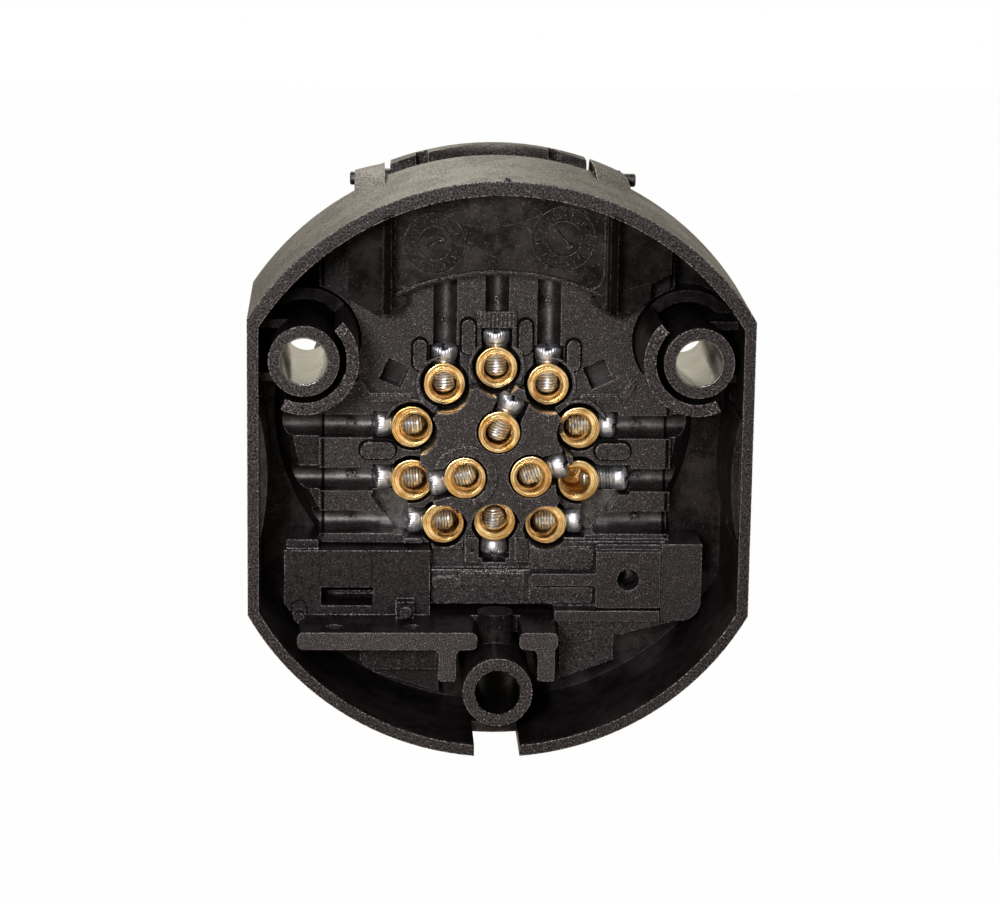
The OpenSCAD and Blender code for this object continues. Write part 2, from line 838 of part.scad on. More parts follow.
// Slotted clamp screw, driven in from the side
module clamp_screw(i) {
    shift = screw_shift(i);
    translate([place(i)[0], screw_y - lift_of(i), place(i)[1]]) rotate([0, -screw_turn[i], 0]) difference() {
        union() {
            translate([-screw_tip + shift, 0, 0]) rotate([0, 90, 0])
                cylinder(d = screw_d, h = head_start + screw_tip + bite);
            translate([head_start + shift, 0, 0]) rotate([0, 90, 0]) cylinder(d = head_d, h = head_len);
        }
        translate([head_start + head_len + shift - slot_depth, -head_d, -slot_w / 2])
            cube([slot_depth + past, 2 * head_d, slot_w]);
    }
}

module clamp_screws() {
    color([0.72, 0.73, 0.75]) for (i = [0:contact_count - 1]) clamp_screw(i);
}

skirt_t = 1.8;
tab_w = 16;
tab_drop = 3.5;
tab_lip = 1.6;
knuckle_low = 2.6;
hood_back = 0.5;

// Curved top of the lid, from the hinge forward, with its rounded back over the spring
module hood_cover() {
    under_arch() difference() {
        slab(hinge[0], lid_y + bite) pane([knuckle_l[0], hinge_z], [knuckle_r[1], arch_r]);
        arch_form(hood_t);
    }
    under_arch() intersection() {
        difference() {
            cross_rod(hinge, hood_r, hood[0], hood[1]);
            cross_rod(hinge, hood_r - hood_t, hood[0] - past, hood[1] + past);
        }
        cross_slab(hood[0], hood[1])
            pane([hinge[0] - hood_r - past, hinge_z - hood_back], [hinge[0] + bite, hinge_z + hood_r + past]);
    }
}

module knuckle(span) {
    under_arch() {
        cross_rod(hinge, knuckle_radius, span[0], span[1]);
        cross_slab(span[0], span[1])
            pane([hinge[0], hinge_z - knuckle_low], [lid_y + bite, hinge_z + hood_r]);
    }
}

// Sprung lid: round cap with a skirt, a tongue up to the hinge and a thumb tab
module lid() {
    color([0.12, 0.12, 0.12]) difference() {
        union() {
            rod([0, 0], lid_r, lid_y, lid_y + lid_t);
            difference() {
                rod([0, 0], lid_r, lid_y - skirt_len, lid_y + bite);
                rod([0, 0], lid_r - skirt_t, lid_y - skirt_len - past, lid_y);
            }
            under_arch() slab(lid_y, lid_y + lid_t) pane([knuckle_l[0], 0], [knuckle_r[1], arch_r]);
            hood_cover();
            knuckle(knuckle_l);
            knuckle(knuckle_r);
            slab(lid_y, lid_y + lid_t) pane([-tab_w / 2, -lid_r - tab_drop], [tab_w / 2, -lid_r + tab_drop]);
            slab(lid_y + lid_t - bite, lid_y + lid_t + tab_lip)
                pane([-tab_w / 2, -lid_r - tab_drop], [tab_w / 2, -lid_r - tab_drop + tab_lip]);
        }
        cross_rod(hinge, pin_d / 2 + pin_gap, knuckle_l[0] - past, knuckle_r[1] + past);
    }
}

module lid_seal() {
    mid = collar_r - collar_wall / 2;
    color([0.2, 0.2, 0.2]) difference() {
        rod([0, 0], mid + seal_w / 2, lid_y - seal_t, lid_y);
        rod([0, 0], mid - seal_w / 2, lid_y - seal_t - past, lid_y + past);
    }
}

pin_out = 0.7;

module hinge_pin() {
    color([0.6, 0.6, 0.62]) cross_rod(hinge, pin_d / 2, ear_l[0] - pin_out, ear_r[1] + pin_out);
}

coil_steps = 14;
coil_sides = 8;
coil_gap = 0.12;
coil_room = 0.65;
leg_end = 6.5;
coil_r = pin_d / 2 + coil_room + spring_wire / 2;
coil_pitch = spring_wire + coil_gap;
coil_from = (hood[0] + hood[1]) / 2 - coil_pitch * spring_turns / 2;
leg_steps = 4;
coil_count = coil_steps * spring_turns + leg_steps;

// Angle round the pin and place along it at each step of the coil
function coil_turn(k) = 180 - 360 * k / coil_steps;
function coil_x(k) = coil_from + coil_pitch * k / coil_steps;
function coil_out(k) = [0, cos(coil_turn(k)), sin(coil_turn(k))];
function coil_point(k) = [coil_x(k), hinge[0], hinge_z] + coil_r * coil_out(k);
function wire_ring(at, out) = [for (j = [0:coil_sides - 1]) let (a = 360 * j / coil_sides)
    at + spring_wire / 2 * (cos(a) * out + sin(a) * [1, 0, 0])];

// Torsion spring: a coil round the pin, one leg on the front wall and one on the lid
module lid_spring() {
    wall_end = [coil_from, shell_depth + spring_wire / 2 + touch, hinge_z - leg_end];
    coil_end = coil_point(coil_count);
    leg_way = [0, sin(coil_turn(coil_count)), -cos(coil_turn(coil_count))];
    lid_end = coil_end + (lid_y - touch - coil_end[1]) / leg_way[1] * leg_way;
    centres = concat([wall_end], [for (k = [0:coil_count]) coil_point(k)], [lid_end]);
    outs = concat([coil_out(0)], [for (k = [0:coil_count]) coil_out(k)], [coil_out(coil_count)]);
    last = len(centres) - 1;
    points = [for (k = [0:last]) each wire_ring(centres[k], outs[k])];
    sides = [for (k = [0:last - 1]) for (j = [0:coil_sides - 1]) let (n = (j + 1) % coil_sides)
        [k * coil_sides + j, k * coil_sides + n, (k + 1) * coil_sides + n, (k + 1) * coil_sides + j]];
    caps = [[for (j = [coil_sides - 1:-1:0]) j], [for (j = [0:coil_sides - 1]) last * coil_sides + j]];
    color([0.7, 0.7, 0.72]) polyhedron(points, concat(sides, caps));
}

housing();
contact_carrier();
switch_cover();
latch_plate();
contact(0);  // contact_1
contact(1);  // contact_2
contact(2);  // contact_3
contact(3);  // contact_4
contact(4);  // contact_5
contact(5);  // contact_6
contact(6);  // contact_7
contact(7);  // contact_8
contact(8);  // contact_9
contact(9);  // contact_10
contact(10);  // contact_11
contact(11);  // contact_12
contact(12);  // contact_13
clamp_screws();
lid();
lid_seal();
hinge_pin();
lid_spring();
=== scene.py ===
import math
import bpy
import bmesh
import numpy as np
from mathutils import Matrix, Vector


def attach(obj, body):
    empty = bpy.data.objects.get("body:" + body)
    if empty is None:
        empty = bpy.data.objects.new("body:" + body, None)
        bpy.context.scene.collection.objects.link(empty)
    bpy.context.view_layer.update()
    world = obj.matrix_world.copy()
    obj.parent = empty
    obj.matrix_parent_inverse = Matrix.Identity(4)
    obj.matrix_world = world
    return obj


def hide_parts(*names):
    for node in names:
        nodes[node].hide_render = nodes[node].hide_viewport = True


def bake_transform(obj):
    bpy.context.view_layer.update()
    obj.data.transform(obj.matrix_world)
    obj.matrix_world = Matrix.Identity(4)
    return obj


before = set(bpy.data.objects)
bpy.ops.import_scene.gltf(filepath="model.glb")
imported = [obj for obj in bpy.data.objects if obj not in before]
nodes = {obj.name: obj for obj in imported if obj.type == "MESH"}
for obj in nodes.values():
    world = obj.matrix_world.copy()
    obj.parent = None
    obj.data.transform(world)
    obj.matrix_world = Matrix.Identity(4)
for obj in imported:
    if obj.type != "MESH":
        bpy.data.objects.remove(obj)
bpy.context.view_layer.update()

# Looks of the trailer socket. Lengths are in millimetres in the row frame, and times mm they are metres.
mm = 0.001
scene = bpy.context.scene


def newTree(name):
    material = bpy.data.materials.new(name)
    material.use_nodes = True
    material.node_tree.nodes.clear()
    return material, material.node_tree


def addNode(tree, kind, values=None, **settings):
    node = tree.nodes.new("ShaderNode" + kind)
    for key, value in settings.items():
        setattr(node, key, value)
    for key, value in (values or {}).items():
        node.inputs[key].default_value = value
    return node


def join(tree, source, target, out=0, into=0):
    tree.links.new(source.outputs[out], target.inputs[into])
    return target


# Gives an input a number or a colour, or links it to an output
def feed(tree, socket, value):
    if isinstance(value, tuple):
        socket.default_value = (*value, 1)
    elif isinstance(value, (int, float)):
        socket.default_value = value
    else:
        tree.links.new(value, socket)


def mathNode(tree, operation, a, b=None, clamp=False):
    node = addNode(tree, "Math", operation=operation, use_clamp=clamp)
    feed(tree, node.inputs[0], a)
    if b is not None:
        feed(tree, node.inputs[1], b)
    return node.outputs[0]


def multiply(tree, *values):
    total = values[0]
    for value in values[1:]:
        total = mathNode(tree, "MULTIPLY", total, value)
    return total


def stepNode(tree, value, low, high, toLow=0.0, toHigh=1.0):
    node = addNode(tree, "MapRange", {"From Min": low, "From Max": high, "To Min": toLow, "To Max": toHigh},
                   interpolation_type="SMOOTHSTEP")
    feed(tree, node.inputs[0], value)
    return node.outputs[0]


# Step between two lengths in millimetres
def lengthStep(tree, value, limits, *ends):
    return stepNode(tree, value, limits[0] * mm, limits[1] * mm, *ends)


# Product of such steps, each of a value and between the lengths that the zones have under its name
def zone(tree, zones, **values):
    return multiply(tree, *(lengthStep(tree, value, zones[name]) for name, value in values.items()))


def blendColour(tree, factor, a, b):
    node = addNode(tree, "Mix", data_type="RGBA")
    for index, value in ((0, factor), (6, a), (7, b)):
        feed(tree, node.inputs[index], value)
    return node.outputs[2]


def blendValue(tree, factor, a, b):
    node = addNode(tree, "Mix", data_type="FLOAT")
    for index, value in ((0, factor), (2, a), (3, b)):
        feed(tree, node.inputs[index], value)
    return node.outputs[0]


def noiseAt(tree, place, scale, detail, roughness=0.6):
    noise = addNode(tree, "TexNoise", {"Detail": detail, "Roughness": roughness})
    feed(tree, noise.inputs["Vector"], place)
    feed(tree, noise.inputs["Scale"], scale)
    return noise.outputs[0]


def scaled(colour, share):
    return tuple(share * c for c in colour)


# Bumps from a height, over the shader's own normal or a softened one, and the way to the output
def finishMaterial(tree, shader, height, strength, depth, normal=None):
    bumps = addNode(tree, "Bump", {"Distance": depth * mm})
    feed(tree, bumps.inputs["Height"], height)
    feed(tree, bumps.inputs["Strength"], strength)
    if normal is not None:
        feed(tree, bumps.inputs["Normal"], normal)
    join(tree, bumps, shader, "Normal", "Normal")
    join(tree, shader, addNode(tree, "OutputMaterial"))


# Noises of the grain: waves a metre, detail, roughness, and whether the fineness scales them. The masks are steps
# of them: pits of the eroded mould, bright specks, which are painted glitter highlights, and their clusters, slow
# clouds, and smudges on polished faces.
grainNoises = {
    "fine": (5000.0, 3.0, 0.65, True), "dots": (6200.0, 1.0, 0.5, True), "patch": (2100.0, 2.0, 0.6, True),
    "slow": (140.0, 4.0, 0.6, False), "touched": (230.0, 6.0, 0.74, False),
}
grainAndGlitterMasks = {
    "pit": ("fine", 0.38, 0.64), "paintedGlitter": ("dots", 0.62, 0.76), "cluster": ("patch", 0.42, 0.66),
    "cloud": ("slow", 0.35, 0.68), "smudge": ("touched", 0.38, 0.64),
}


# Grain as a height, and the masks above with the painted glitter among them, each from 0 to 1
def makeGrainAndGlitter(tree, fineness):
    place = addNode(tree, "TexCoord").outputs["Object"]
    noises = {}
    for name, (waves, detail, roughness, follows) in grainNoises.items():
        scale = multiply(tree, fineness, waves) if follows else waves
        noises[name] = noiseAt(tree, place, scale, detail, roughness)
    masks = {name: stepNode(tree, noises[noise], low, high) for name, (noise, low, high) in grainAndGlitterMasks.items()}
    return {"height": noises["fine"], **masks}


# The cosines between which a rounded edge shows, and the reach and openness that make a corner
edgeSizes = {"samples": 4, "cosines": (0.985, 0.86), "reach": 1.5, "openSamples": 6, "open": (0.2, 0.9)}


# Rounded edges: the softened normal, a mask that is 1 where it leaves the flat face, and one that is 0 in corners
def makeEdges(tree, radius):
    sizes = edgeSizes
    soft = addNode(tree, "Bevel", {"Radius": radius * mm}, samples=sizes["samples"])
    cosine = join(tree, soft, addNode(tree, "VectorMath", operation="DOT_PRODUCT"))
    join(tree, addNode(tree, "NewGeometry"), cosine, "True Normal", 1)
    corner = addNode(tree, "AmbientOcclusion", {"Distance": sizes["reach"] * mm}, samples=sizes["openSamples"])
    return (soft.outputs[0], stepNode(tree, cosine.outputs["Value"], *sizes["cosines"]),
            stepNode(tree, corner.outputs["AO"], *sizes["open"]))


# Distance in the X and Z plane from a point, in metres; mirrored puts both sides of the socket into one
def distanceTo(tree, split, point, mirrored=False):
    across = mathNode(tree, "ABSOLUTE", split.outputs[0]) if mirrored else split.outputs[0]
    dx = mathNode(tree, "SUBTRACT", across, point[0] * mm)
    dz = mathNode(tree, "SUBTRACT", split.outputs[2], point[1] * mm)
    return mathNode(tree, "SQRT", mathNode(tree, "ADD", multiply(tree, dx, dx), multiply(tree, dz, dz)))


# Date clocks on the wall under the dome: centre in X and Z, radius, and the arrow's direction in degrees
dateClocks = ((-9.4, 32.2, 4.4, 25), (9.2, 33.0, 4.6, -50))

# Each moulding has two masks: smooth, where its mould was polished, and gain, how strongly the face shines; where
# the gain is low it also paints the face darker as shade, and it sets how bright the painted glitter is. In the
# zones a pair is the two lengths between which a mask steps from 0 to 1. Boss, lowBoss, diamond and eye are places
# in X and Z instead; clockOuter is added to a clock's radius, and clockInner multiplies it.
housingZones = {
    "shell": (41.3, 40.9), "sides": (35.5, 35.2), "mouth": (0.7, 1.0), "frontWall": (26.3, 26.1),
    "boss": (28, 17), "lowBoss": (0, -31.5), "bore": (3.5, 3.4), "boreGain": 14.0, "lowBoreGain": 0.03,
    "outside": (42.4, 42.7), "outsideGain": 1.5, "lowFace": (6.6, 6.4), "lowFaceGain": 1.25,
    "ledge": (8.3, 8.2), "ledgeDepth": (9.0, 14.0), "ledgeGain": 0.35,
    "finAt": 16.2, "finSide": (0.9, 0.7), "finDepth": (12.0, 9.0), "finHeight": (20.0, 21.0), "finGain": 0.1,
    "eaves": (16.7, 17.1), "eavesHeight": (20.0, 20.6), "eavesGain": 0.42,
    "clockOuter": (0.5, -0.2), "clockInner": (0.5, 0.62), "clockSmooth": 0.45, "clockGain": 0.5,
}


# Housing: polished inside the shell and in the bolt bores, eroded on the rim, the bosses' ends and outside. The
# upper bores shine, and the low one is painted black as shade; ledges, fins and eaves are dull and painted darker
# as shade, and a band in each date clock is dull and a little darker. Outside and round the low boss the gain is
# higher, which brightens the painted glitter.
def housingMasks(tree, split):
    zones = housingZones
    across = mathNode(tree, "ABSOLUTE", split.outputs[0])
    deep, high = split.outputs[1], split.outputs[2]
    fromAxis = distanceTo(tree, split, (0, 0))
    fromBoss = distanceTo(tree, split, zones["boss"], True)
    fromLowBoss = distanceTo(tree, split, zones["lowBoss"])
    inside = zone(tree, zones, shell=fromAxis, sides=across)
    depth = zone(tree, zones, mouth=deep, frontWall=deep)
    bores = zone(tree, zones, bore=fromBoss)
    smooth = mathNode(tree, "MAXIMUM", multiply(tree, inside, depth), bores)
    outer = lengthStep(tree, fromAxis, zones["outside"], 1.0, zones["outsideGain"])
    # Painted shade: the ledges round the upper bosses get a low gain, which darkens them
    gain = blendValue(tree, zone(tree, zones, ledge=fromBoss, ledgeDepth=deep), outer, zones["ledgeGain"])
    gain = multiply(tree, gain, lengthStep(tree, fromLowBoss, zones["lowFace"], 1.0, zones["lowFaceGain"]))
    # Painted shade: the fins and the eaves get a low gain as well
    fromFin = mathNode(tree, "ABSOLUTE", mathNode(tree, "SUBTRACT", across, zones["finAt"] * mm))
    fins = multiply(tree, zone(tree, zones, finSide=fromFin, finDepth=deep, finHeight=high), inside)
    gain = blendValue(tree, fins, gain, zones["finGain"])
    eaves = multiply(tree, zone(tree, zones, eaves=across, eavesHeight=high), inside, depth)
    gain = blendValue(tree, eaves, gain, zones["eavesGain"])
    for x, z, size, turn in dateClocks:
        away = distanceTo(tree, split, (x, z))
        band = multiply(tree, lengthStep(tree, away, [size + more for more in zones["clockOuter"]]),
                        lengthStep(tree, away, [share * size for share in zones["clockInner"]]), depth)
        smooth = blendValue(tree, band, smooth, zones["clockSmooth"])
        gain = blendValue(tree, band, gain, zones["clockGain"])
    gain = blendValue(tree, bores, gain, zones["boreGain"])
    # Painted shade: the low bore's gain is near 0, which paints it black
    return smooth, blendValue(tree, zone(tree, zones, bore=fromLowBoss), gain, zones["lowBoreGain"])


wallCosines = (0.4, 0.2)


# Walls that run along the plug axis are polished: 1 on them and 0 on faces square to it
def wallMask(tree):
    normal = join(tree, addNode(tree, "TexCoord"), addNode(tree, "SeparateXYZ"), "Normal")
    return stepNode(tree, mathNode(tree, "ABSOLUTE", normal.outputs[1]), *wallCosines)


carrierZones = {
    "wells": (19.5, 20.0), "wellGain": 1.35, "holeGain": 0.25,
    "diamond": (15, 12), "diamondSize": (2.6, 2.5), "diamondDepth": (19.0, 20.0),
    "eye": (19.8, -18.28), "eyeSize": (1.8, 1.7), "eyeDepth": (17.0, 17.4), "eyeShare": 1.3,
    "landEnd": (25.2, 25.35), "landEndGain": 0.04, "landTip": (25.65, 25.8), "landTipGain": 0.5,
    "landHeight": (-13.0, -12.6), "corner": (21.2, 21.8), "cornerHeight": (21.0, 22.5), "cornerGain": 0.35,
    "channel": (21.0, 21.6), "channelEnd": (27.0, 26.0), "channelGain": 0.52, "channelSmooth": 0.42,
}


# Carrier: polished walls, a floor in the wells that shines more with brighter painted glitter, diamond holes and
# eye painted dark as shade, channels that are smoother but duller, a line painted near black as shade and a less
# dark tip at the ends of the lands, and upper corners painted darker as shade
def carrierMasks(tree, split):
    zones = carrierZones
    across = mathNode(tree, "ABSOLUTE", split.outputs[0])
    deep, high = split.outputs[1], split.outputs[2]
    fromDiamond = distanceTo(tree, split, zones["diamond"], True)
    fromEye = distanceTo(tree, split, zones["eye"])
    diamonds = zone(tree, zones, diamondSize=fromDiamond, diamondDepth=deep)
    eye = multiply(tree, zone(tree, zones, eyeSize=fromEye, eyeDepth=deep), zones["eyeShare"])
    # Painted shade: a near black line at the ends of the lands, a lighter tip beyond it, and darker upper corners
    ends = mathNode(tree, "ADD", lengthStep(tree, across, zones["landEnd"], 1.0, zones["landEndGain"]),
                    lengthStep(tree, across, zones["landTip"], 0.0, zones["landTipGain"]))
    corner = zone(tree, zones, corner=across, cornerHeight=high)
    ends = multiply(tree, ends, blendValue(tree, corner, 1.0, zones["cornerGain"]))
    ends = blendValue(tree, zone(tree, zones, landHeight=high), 1.0, ends)
    channels = zone(tree, zones, channel=deep, channelEnd=deep)
    faces = multiply(tree, lengthStep(tree, deep, zones["wells"], 1.0, zones["wellGain"]),
                     blendValue(tree, channels, 1.0, zones["channelGain"]), ends)
    # Painted shade: the diamond holes and the eye get a low gain, which darkens them
    gain = blendValue(tree, mathNode(tree, "MAXIMUM", diamonds, eye), faces, zones["holeGain"])
    return mathNode(tree, "MAXIMUM", wallMask(tree), multiply(tree, channels, zones["channelSmooth"])), gain


coverZones = {"shelf": (9.0, 6.0), "gains": (0.68, 1.68)}


# Switch cover: the shelf that stands out towards the rim is the rougher part; as painted light it shines more and
# its painted glitter is brighter, while the rest of the cover shines less
def coverMasks(tree, split):
    return wallMask(tree), lengthStep(tree, split.outputs[1], coverZones["shelf"], *coverZones["gains"])


# The common black plastic, which each look changes in places. A pair is what a mask gives at 0 and at 1, or the
# limits of a step in paintedShadeGains, edgeDots and glossGains.
mouldLook = {
    "dark": (0.0085, 0.0062, 0.0066), "light": (0.39, 0.33, 0.36), "glint": (0.66, 0.60, 0.62),
    "rough": 0.52, "polished": 0.36, "shine": 0.72, "polishedShine": 0.22, "pit": 0.12, "fineness": 1.0,
    "bump": 0.8, "depth": 0.05, "edge": 0.28, "edgeShine": 0.7, "polishedGrain": 0.18,
    "cloudTones": (0.7, 1.3), "smudgeTones": (0.6, 1.4), "paintedShadeTone": 0.3, "paintedShadeGains": (0.05, 0.6),
    "speckShares": (0.35, 1.0), "speckGain": 1.7, "cool": (0.90, 1.04, 0.98), "warm": (1.12, 0.92, 1.04),
    "polishedEdge": 0.2, "edgeDots": (0.35, 0.95), "edgeShines": (0.3, 1.25), "clusterShines": (0.82, 1.1),
    "smudgeShines": (0.4, 1.6), "cornerShine": 0.10, "cloudRough": (-0.05, 0.06), "glossGains": (3.0, 9.0),
    "glossRough": 0.4,
}


# Moulded black plastic. Eroded faces glitter from pit to pit, and painted glitter specks lighten their colour;
# polished ones are smudged, darker and reflect more. A gain near 0 also paints the face black as shade, a higher
# gain brightens the painted glitter, and a gain far above 1 also makes it glossier.
def plastic(name, look, masks=None):
    look = {**mouldLook, **look}
    material, tree = newTree(name)
    grain = makeGrainAndGlitter(tree, look["fineness"])
    softened, edge, opened = makeEdges(tree, look["edge"])
    shader = addNode(tree, "BsdfPrincipled", {"IOR": 1.5})
    split = join(tree, addNode(tree, "TexCoord"), addNode(tree, "SeparateXYZ"), "Object")
    smooth, gain = masks(tree, split) if masks else (0.0, 1.0)
    pit, cluster, cloud, smudge = (grain[part] for part in ("pit", "cluster", "cloud", "smudge"))
    dark, light = look["dark"], look["light"]
    tone = blendColour(tree, cloud, *(scaled(dark, share) for share in look["cloudTones"]))
    handled = blendColour(tree, smudge, *(scaled(dark, share) for share in look["smudgeTones"]))
    tone = blendColour(tree, smooth, tone, handled)
    # Painted shade: where the gain is low the colour turns to a small share of the dark tone
    tone = blendColour(tree, stepNode(tree, gain, *look["paintedShadeGains"]), scaled(dark, look["paintedShadeTone"]), tone)
    fade = blendValue(tree, smooth, 1.0, look["polishedGrain"])
    # Painted glitter: bright specks in the colour stand in for glints, fewer on polished faces and brighter where
    # the gain is higher
    paintedGlitter = multiply(tree, grain["paintedGlitter"], blendValue(tree, cluster, *look["speckShares"]), fade)
    paintedGlitter = mathNode(tree, "MULTIPLY", paintedGlitter, mathNode(tree, "MINIMUM", gain, look["speckGain"]), True)
    cooler, warmer = (tuple(c * k for c, k in zip(light, look[tint])) for tint in ("cool", "warm"))
    colour = blendColour(tree, paintedGlitter, tone, blendColour(tree, cluster, cooler, warmer))
    # Painted highlight: rounded edges take the light glint colour in dots, less on polished faces
    edge = multiply(tree, edge, blendValue(tree, smooth, 1.0, look["polishedEdge"]))
    paintedEdgeGlint = multiply(tree, edge, stepNode(tree, pit, *look["edgeDots"]))
    feed(tree, shader.inputs["Base Color"], blendColour(tree, paintedEdgeGlint, colour, look["glint"]))

    # Shine of a face = shine of its finish * gain * shade in corners, and the edges add theirs
    rugged = multiply(tree, blendValue(tree, pit, look["pit"], 1.0),
                      blendValue(tree, cluster, *look["clusterShines"]))
    finish = blendValue(tree, smooth, rugged, blendValue(tree, smudge, *look["smudgeShines"]))
    shade = blendValue(tree, smooth, blendValue(tree, opened, look["cornerShine"], 1.0), 1.0)
    shine = multiply(tree, finish, blendValue(tree, smooth, look["shine"], look["polishedShine"]), gain, shade)
    edgeShines = [share * look["edgeShine"] for share in look["edgeShines"]]
    shine = mathNode(tree, "ADD", shine, multiply(tree, edge, blendValue(tree, pit, *edgeShines)))
    feed(tree, shader.inputs["Specular IOR Level"], shine)
    patches = stepNode(tree, cloud, 0.0, 1.0, *look["cloudRough"])
    rough = multiply(tree, blendValue(tree, smooth, look["rough"], look["polished"]),
                     stepNode(tree, gain, *look["glossGains"], 1.0, look["glossRough"]))
    feed(tree, shader.inputs["Roughness"], mathNode(tree, "ADD", rough, patches, True))
    finishMaterial(tree, shader, grain["height"], multiply(tree, fade, look["bump"]), look["depth"], softened)
    return material


# What the metals share. Wander, stain and mottle are noises: waves a metre, detail and roughness. Stains, grooves,
# spread, root, cut and head are the limits of steps, and roughness is what the noise adds at them.
metalLook = {
    "stains": (0.35, 0.65), "grooves": (0.30, 0.60), "grooveTone": 0.5, "spread": (0.3, 0.7), "lines": 0.0,
    "roughness": (-0.06, 0.08), "wander": (400.0, 2.0), "wanderShare": 0.05, "ringDepth": 0.03,
    "mottleDepth": 0.02,
    "root": (0.08, 0.42), "paintedRootShade": 0.14, "cut": (3.0, 2.9), "cutTone": (0.92, 0.95, 1.0), "head": (3.0, 3.1),
}


# Turned metal: fine rings follow the attribute turn, which counts millimetres along the turned profile
def turned(name, look):
    look = {**metalLook, **look}
    material, tree = newTree(name)
    shader = addNode(tree, "BsdfPrincipled", {"Metallic": 1.0, "Anisotropic": look["fan"]})
    join(tree, addNode(tree, "Tangent", direction_type="RADIAL", axis="Y"), shader, 0, "Tangent")
    along = addNode(tree, "Attribute", attribute_name="turn").outputs["Fac"]
    place = addNode(tree, "TexCoord").outputs["Object"]
    wander = multiply(tree, noiseAt(tree, place, *look["wander"]), look["wanderShare"])
    rings = addNode(tree, "TexNoise", look["rings"], noise_dimensions="1D")
    feed(tree, rings.inputs["W"], mathNode(tree, "ADD", along, wander))
    stain = stepNode(tree, noiseAt(tree, place, *look["stain"]), *look["stains"])
    groove = stepNode(tree, rings.outputs[0], *look["grooves"])
    tint = blendColour(tree, stain, look["dark"], look["light"])
    feed(tree, shader.inputs["Base Color"],
         blendColour(tree, groove, scaled(look["dark"], look["grooveTone"]), tint))
    roughness = [look["rough"] + more for more in look["roughness"]]
    feed(tree, shader.inputs["Roughness"], stepNode(tree, rings.outputs[0], *look["spread"], *roughness))
    finishMaterial(tree, shader, rings.outputs[0], look["bump"], look["ringDepth"])
    return material


# Plated or drawn metal with a light mottle. On a screw the attribute turn is 0 at the thread's root, 1 at its
# crest and more on the head; the roots are painted dark as shade, and the thread is brighter and glossier than the
# head.
def plated(name, look):
    look = {**metalLook, **look}
    material, tree = newTree(name)
    shader = addNode(tree, "BsdfPrincipled", {"Metallic": 1.0})
    mottle = noiseAt(tree, addNode(tree, "TexCoord").outputs["Object"], *look["mottle"])
    along = addNode(tree, "Attribute", attribute_name="turn").outputs["Fac"]
    colour = blendColour(tree, stepNode(tree, mottle, *look["stains"]), look["dark"], look["light"])
    colour = blendColour(tree, stepNode(tree, along, *look["cut"], 0.0, look["lines"]), colour, look["cutTone"])
    # Painted shade: the thread's roots turn to a small share of the dark tone
    colour = blendColour(tree, stepNode(tree, along, *look["root"], look["lines"], 0.0), colour,
                         scaled(look["dark"], look["paintedRootShade"]))
    feed(tree, shader.inputs["Base Color"], colour)
    base = stepNode(tree, along, *look["head"], look["thread"], look["rough"])
    spread = stepNode(tree, mottle, *look["spread"], *look["roughness"])
    feed(tree, shader.inputs["Roughness"], mathNode(tree, "ADD", base, spread, True))
    finishMaterial(tree, shader, mottle, look["bump"], look["mottleDepth"])
    return material


housingPlastic = plastic("housingPlastic", {
    "fineness": 0.72, "shine": 0.80, "pit": 0.05, "depth": 0.08, "polishedShine": 0.17, "polishedGrain": 0.3,
}, housingMasks)
markPlastic = plastic("markPlastic", {
    "fineness": 0.8, "light": (0.5, 0.46, 0.5), "glint": (0.10, 0.09, 0.10), "rough": 0.24, "shine": 0.7,
    "edgeShine": 0.6, "depth": 0.12})
digitPlastic = plastic("digitPlastic", {
    "fineness": 0.8, "rough": 0.28, "shine": 1.1, "edge": 0.12, "edgeShine": 0.9, "depth": 0.1})
carrierPlastic = plastic("carrierPlastic", {
    "polished": 0.23, "polishedShine": 3.4, "polishedGrain": 0.05, "shine": 0.86}, carrierMasks)
coverPlastic = plastic("coverPlastic", {"fineness": 1.05, "rough": 0.55, "polished": 0.25}, coverMasks)
latchPlastic = plastic("latchPlastic", {"fineness": 1.1, "rough": 0.5, "shine": 0.7})
lidPlastic = plastic("lidPlastic", {
    "fineness": 0.75, "edge": 0.3, "light": (0.30, 0.24, 0.28), "shine": 0.55, "edgeShine": 0.9})
sealRubber = plastic("sealRubber", {
    "fineness": 0.6, "rough": 0.7, "light": (0.02, 0.02, 0.02), "glint": (0.03, 0.03, 0.03),
    "bump": 0.4, "shine": 0.4})
# Near black, for the cover's seams and for the painted shadow lines at the feet of the bars
seamAndShadowPlastic = plastic("seamAndShadowPlastic", {
    "dark": (0.001, 0.001, 0.001), "light": (0.004, 0.004, 0.004), "glint": (0.004, 0.004, 0.004),
    "rough": 0.8, "shine": 0.1})
brass = turned("turnedBrass", {
    "dark": (0.60, 0.33, 0.10), "light": (1.0, 0.78, 0.41), "rough": 0.23, "bump": 0.9, "stain": (520.0, 4.0),
    "rings": {"Scale": 7.0, "Detail": 3.0, "Roughness": 0.7}, "fan": 0.82})
zinc = plated("zincSteel", {
    "dark": (0.44, 0.46, 0.50), "light": (0.72, 0.74, 0.78), "rough": 0.43, "thread": 0.33, "lines": 0.8,
    "mottle": (1100.0, 4.0, 0.65), "bump": 0.06})
darkSteel = plated("darkSteel", {
    "dark": (0.035, 0.035, 0.037), "light": (0.09, 0.09, 0.095), "rough": 0.45, "thread": 0.45,
    "mottle": (1200.0, 4.0, 0.65), "bump": 0.3})
springSteel = plated("springSteel", {
    "dark": (0.30, 0.30, 0.31), "light": (0.52, 0.52, 0.54), "rough": 0.35, "thread": 0.35,
    "mottle": (900.0, 4.0, 0.65), "bump": 0.1})

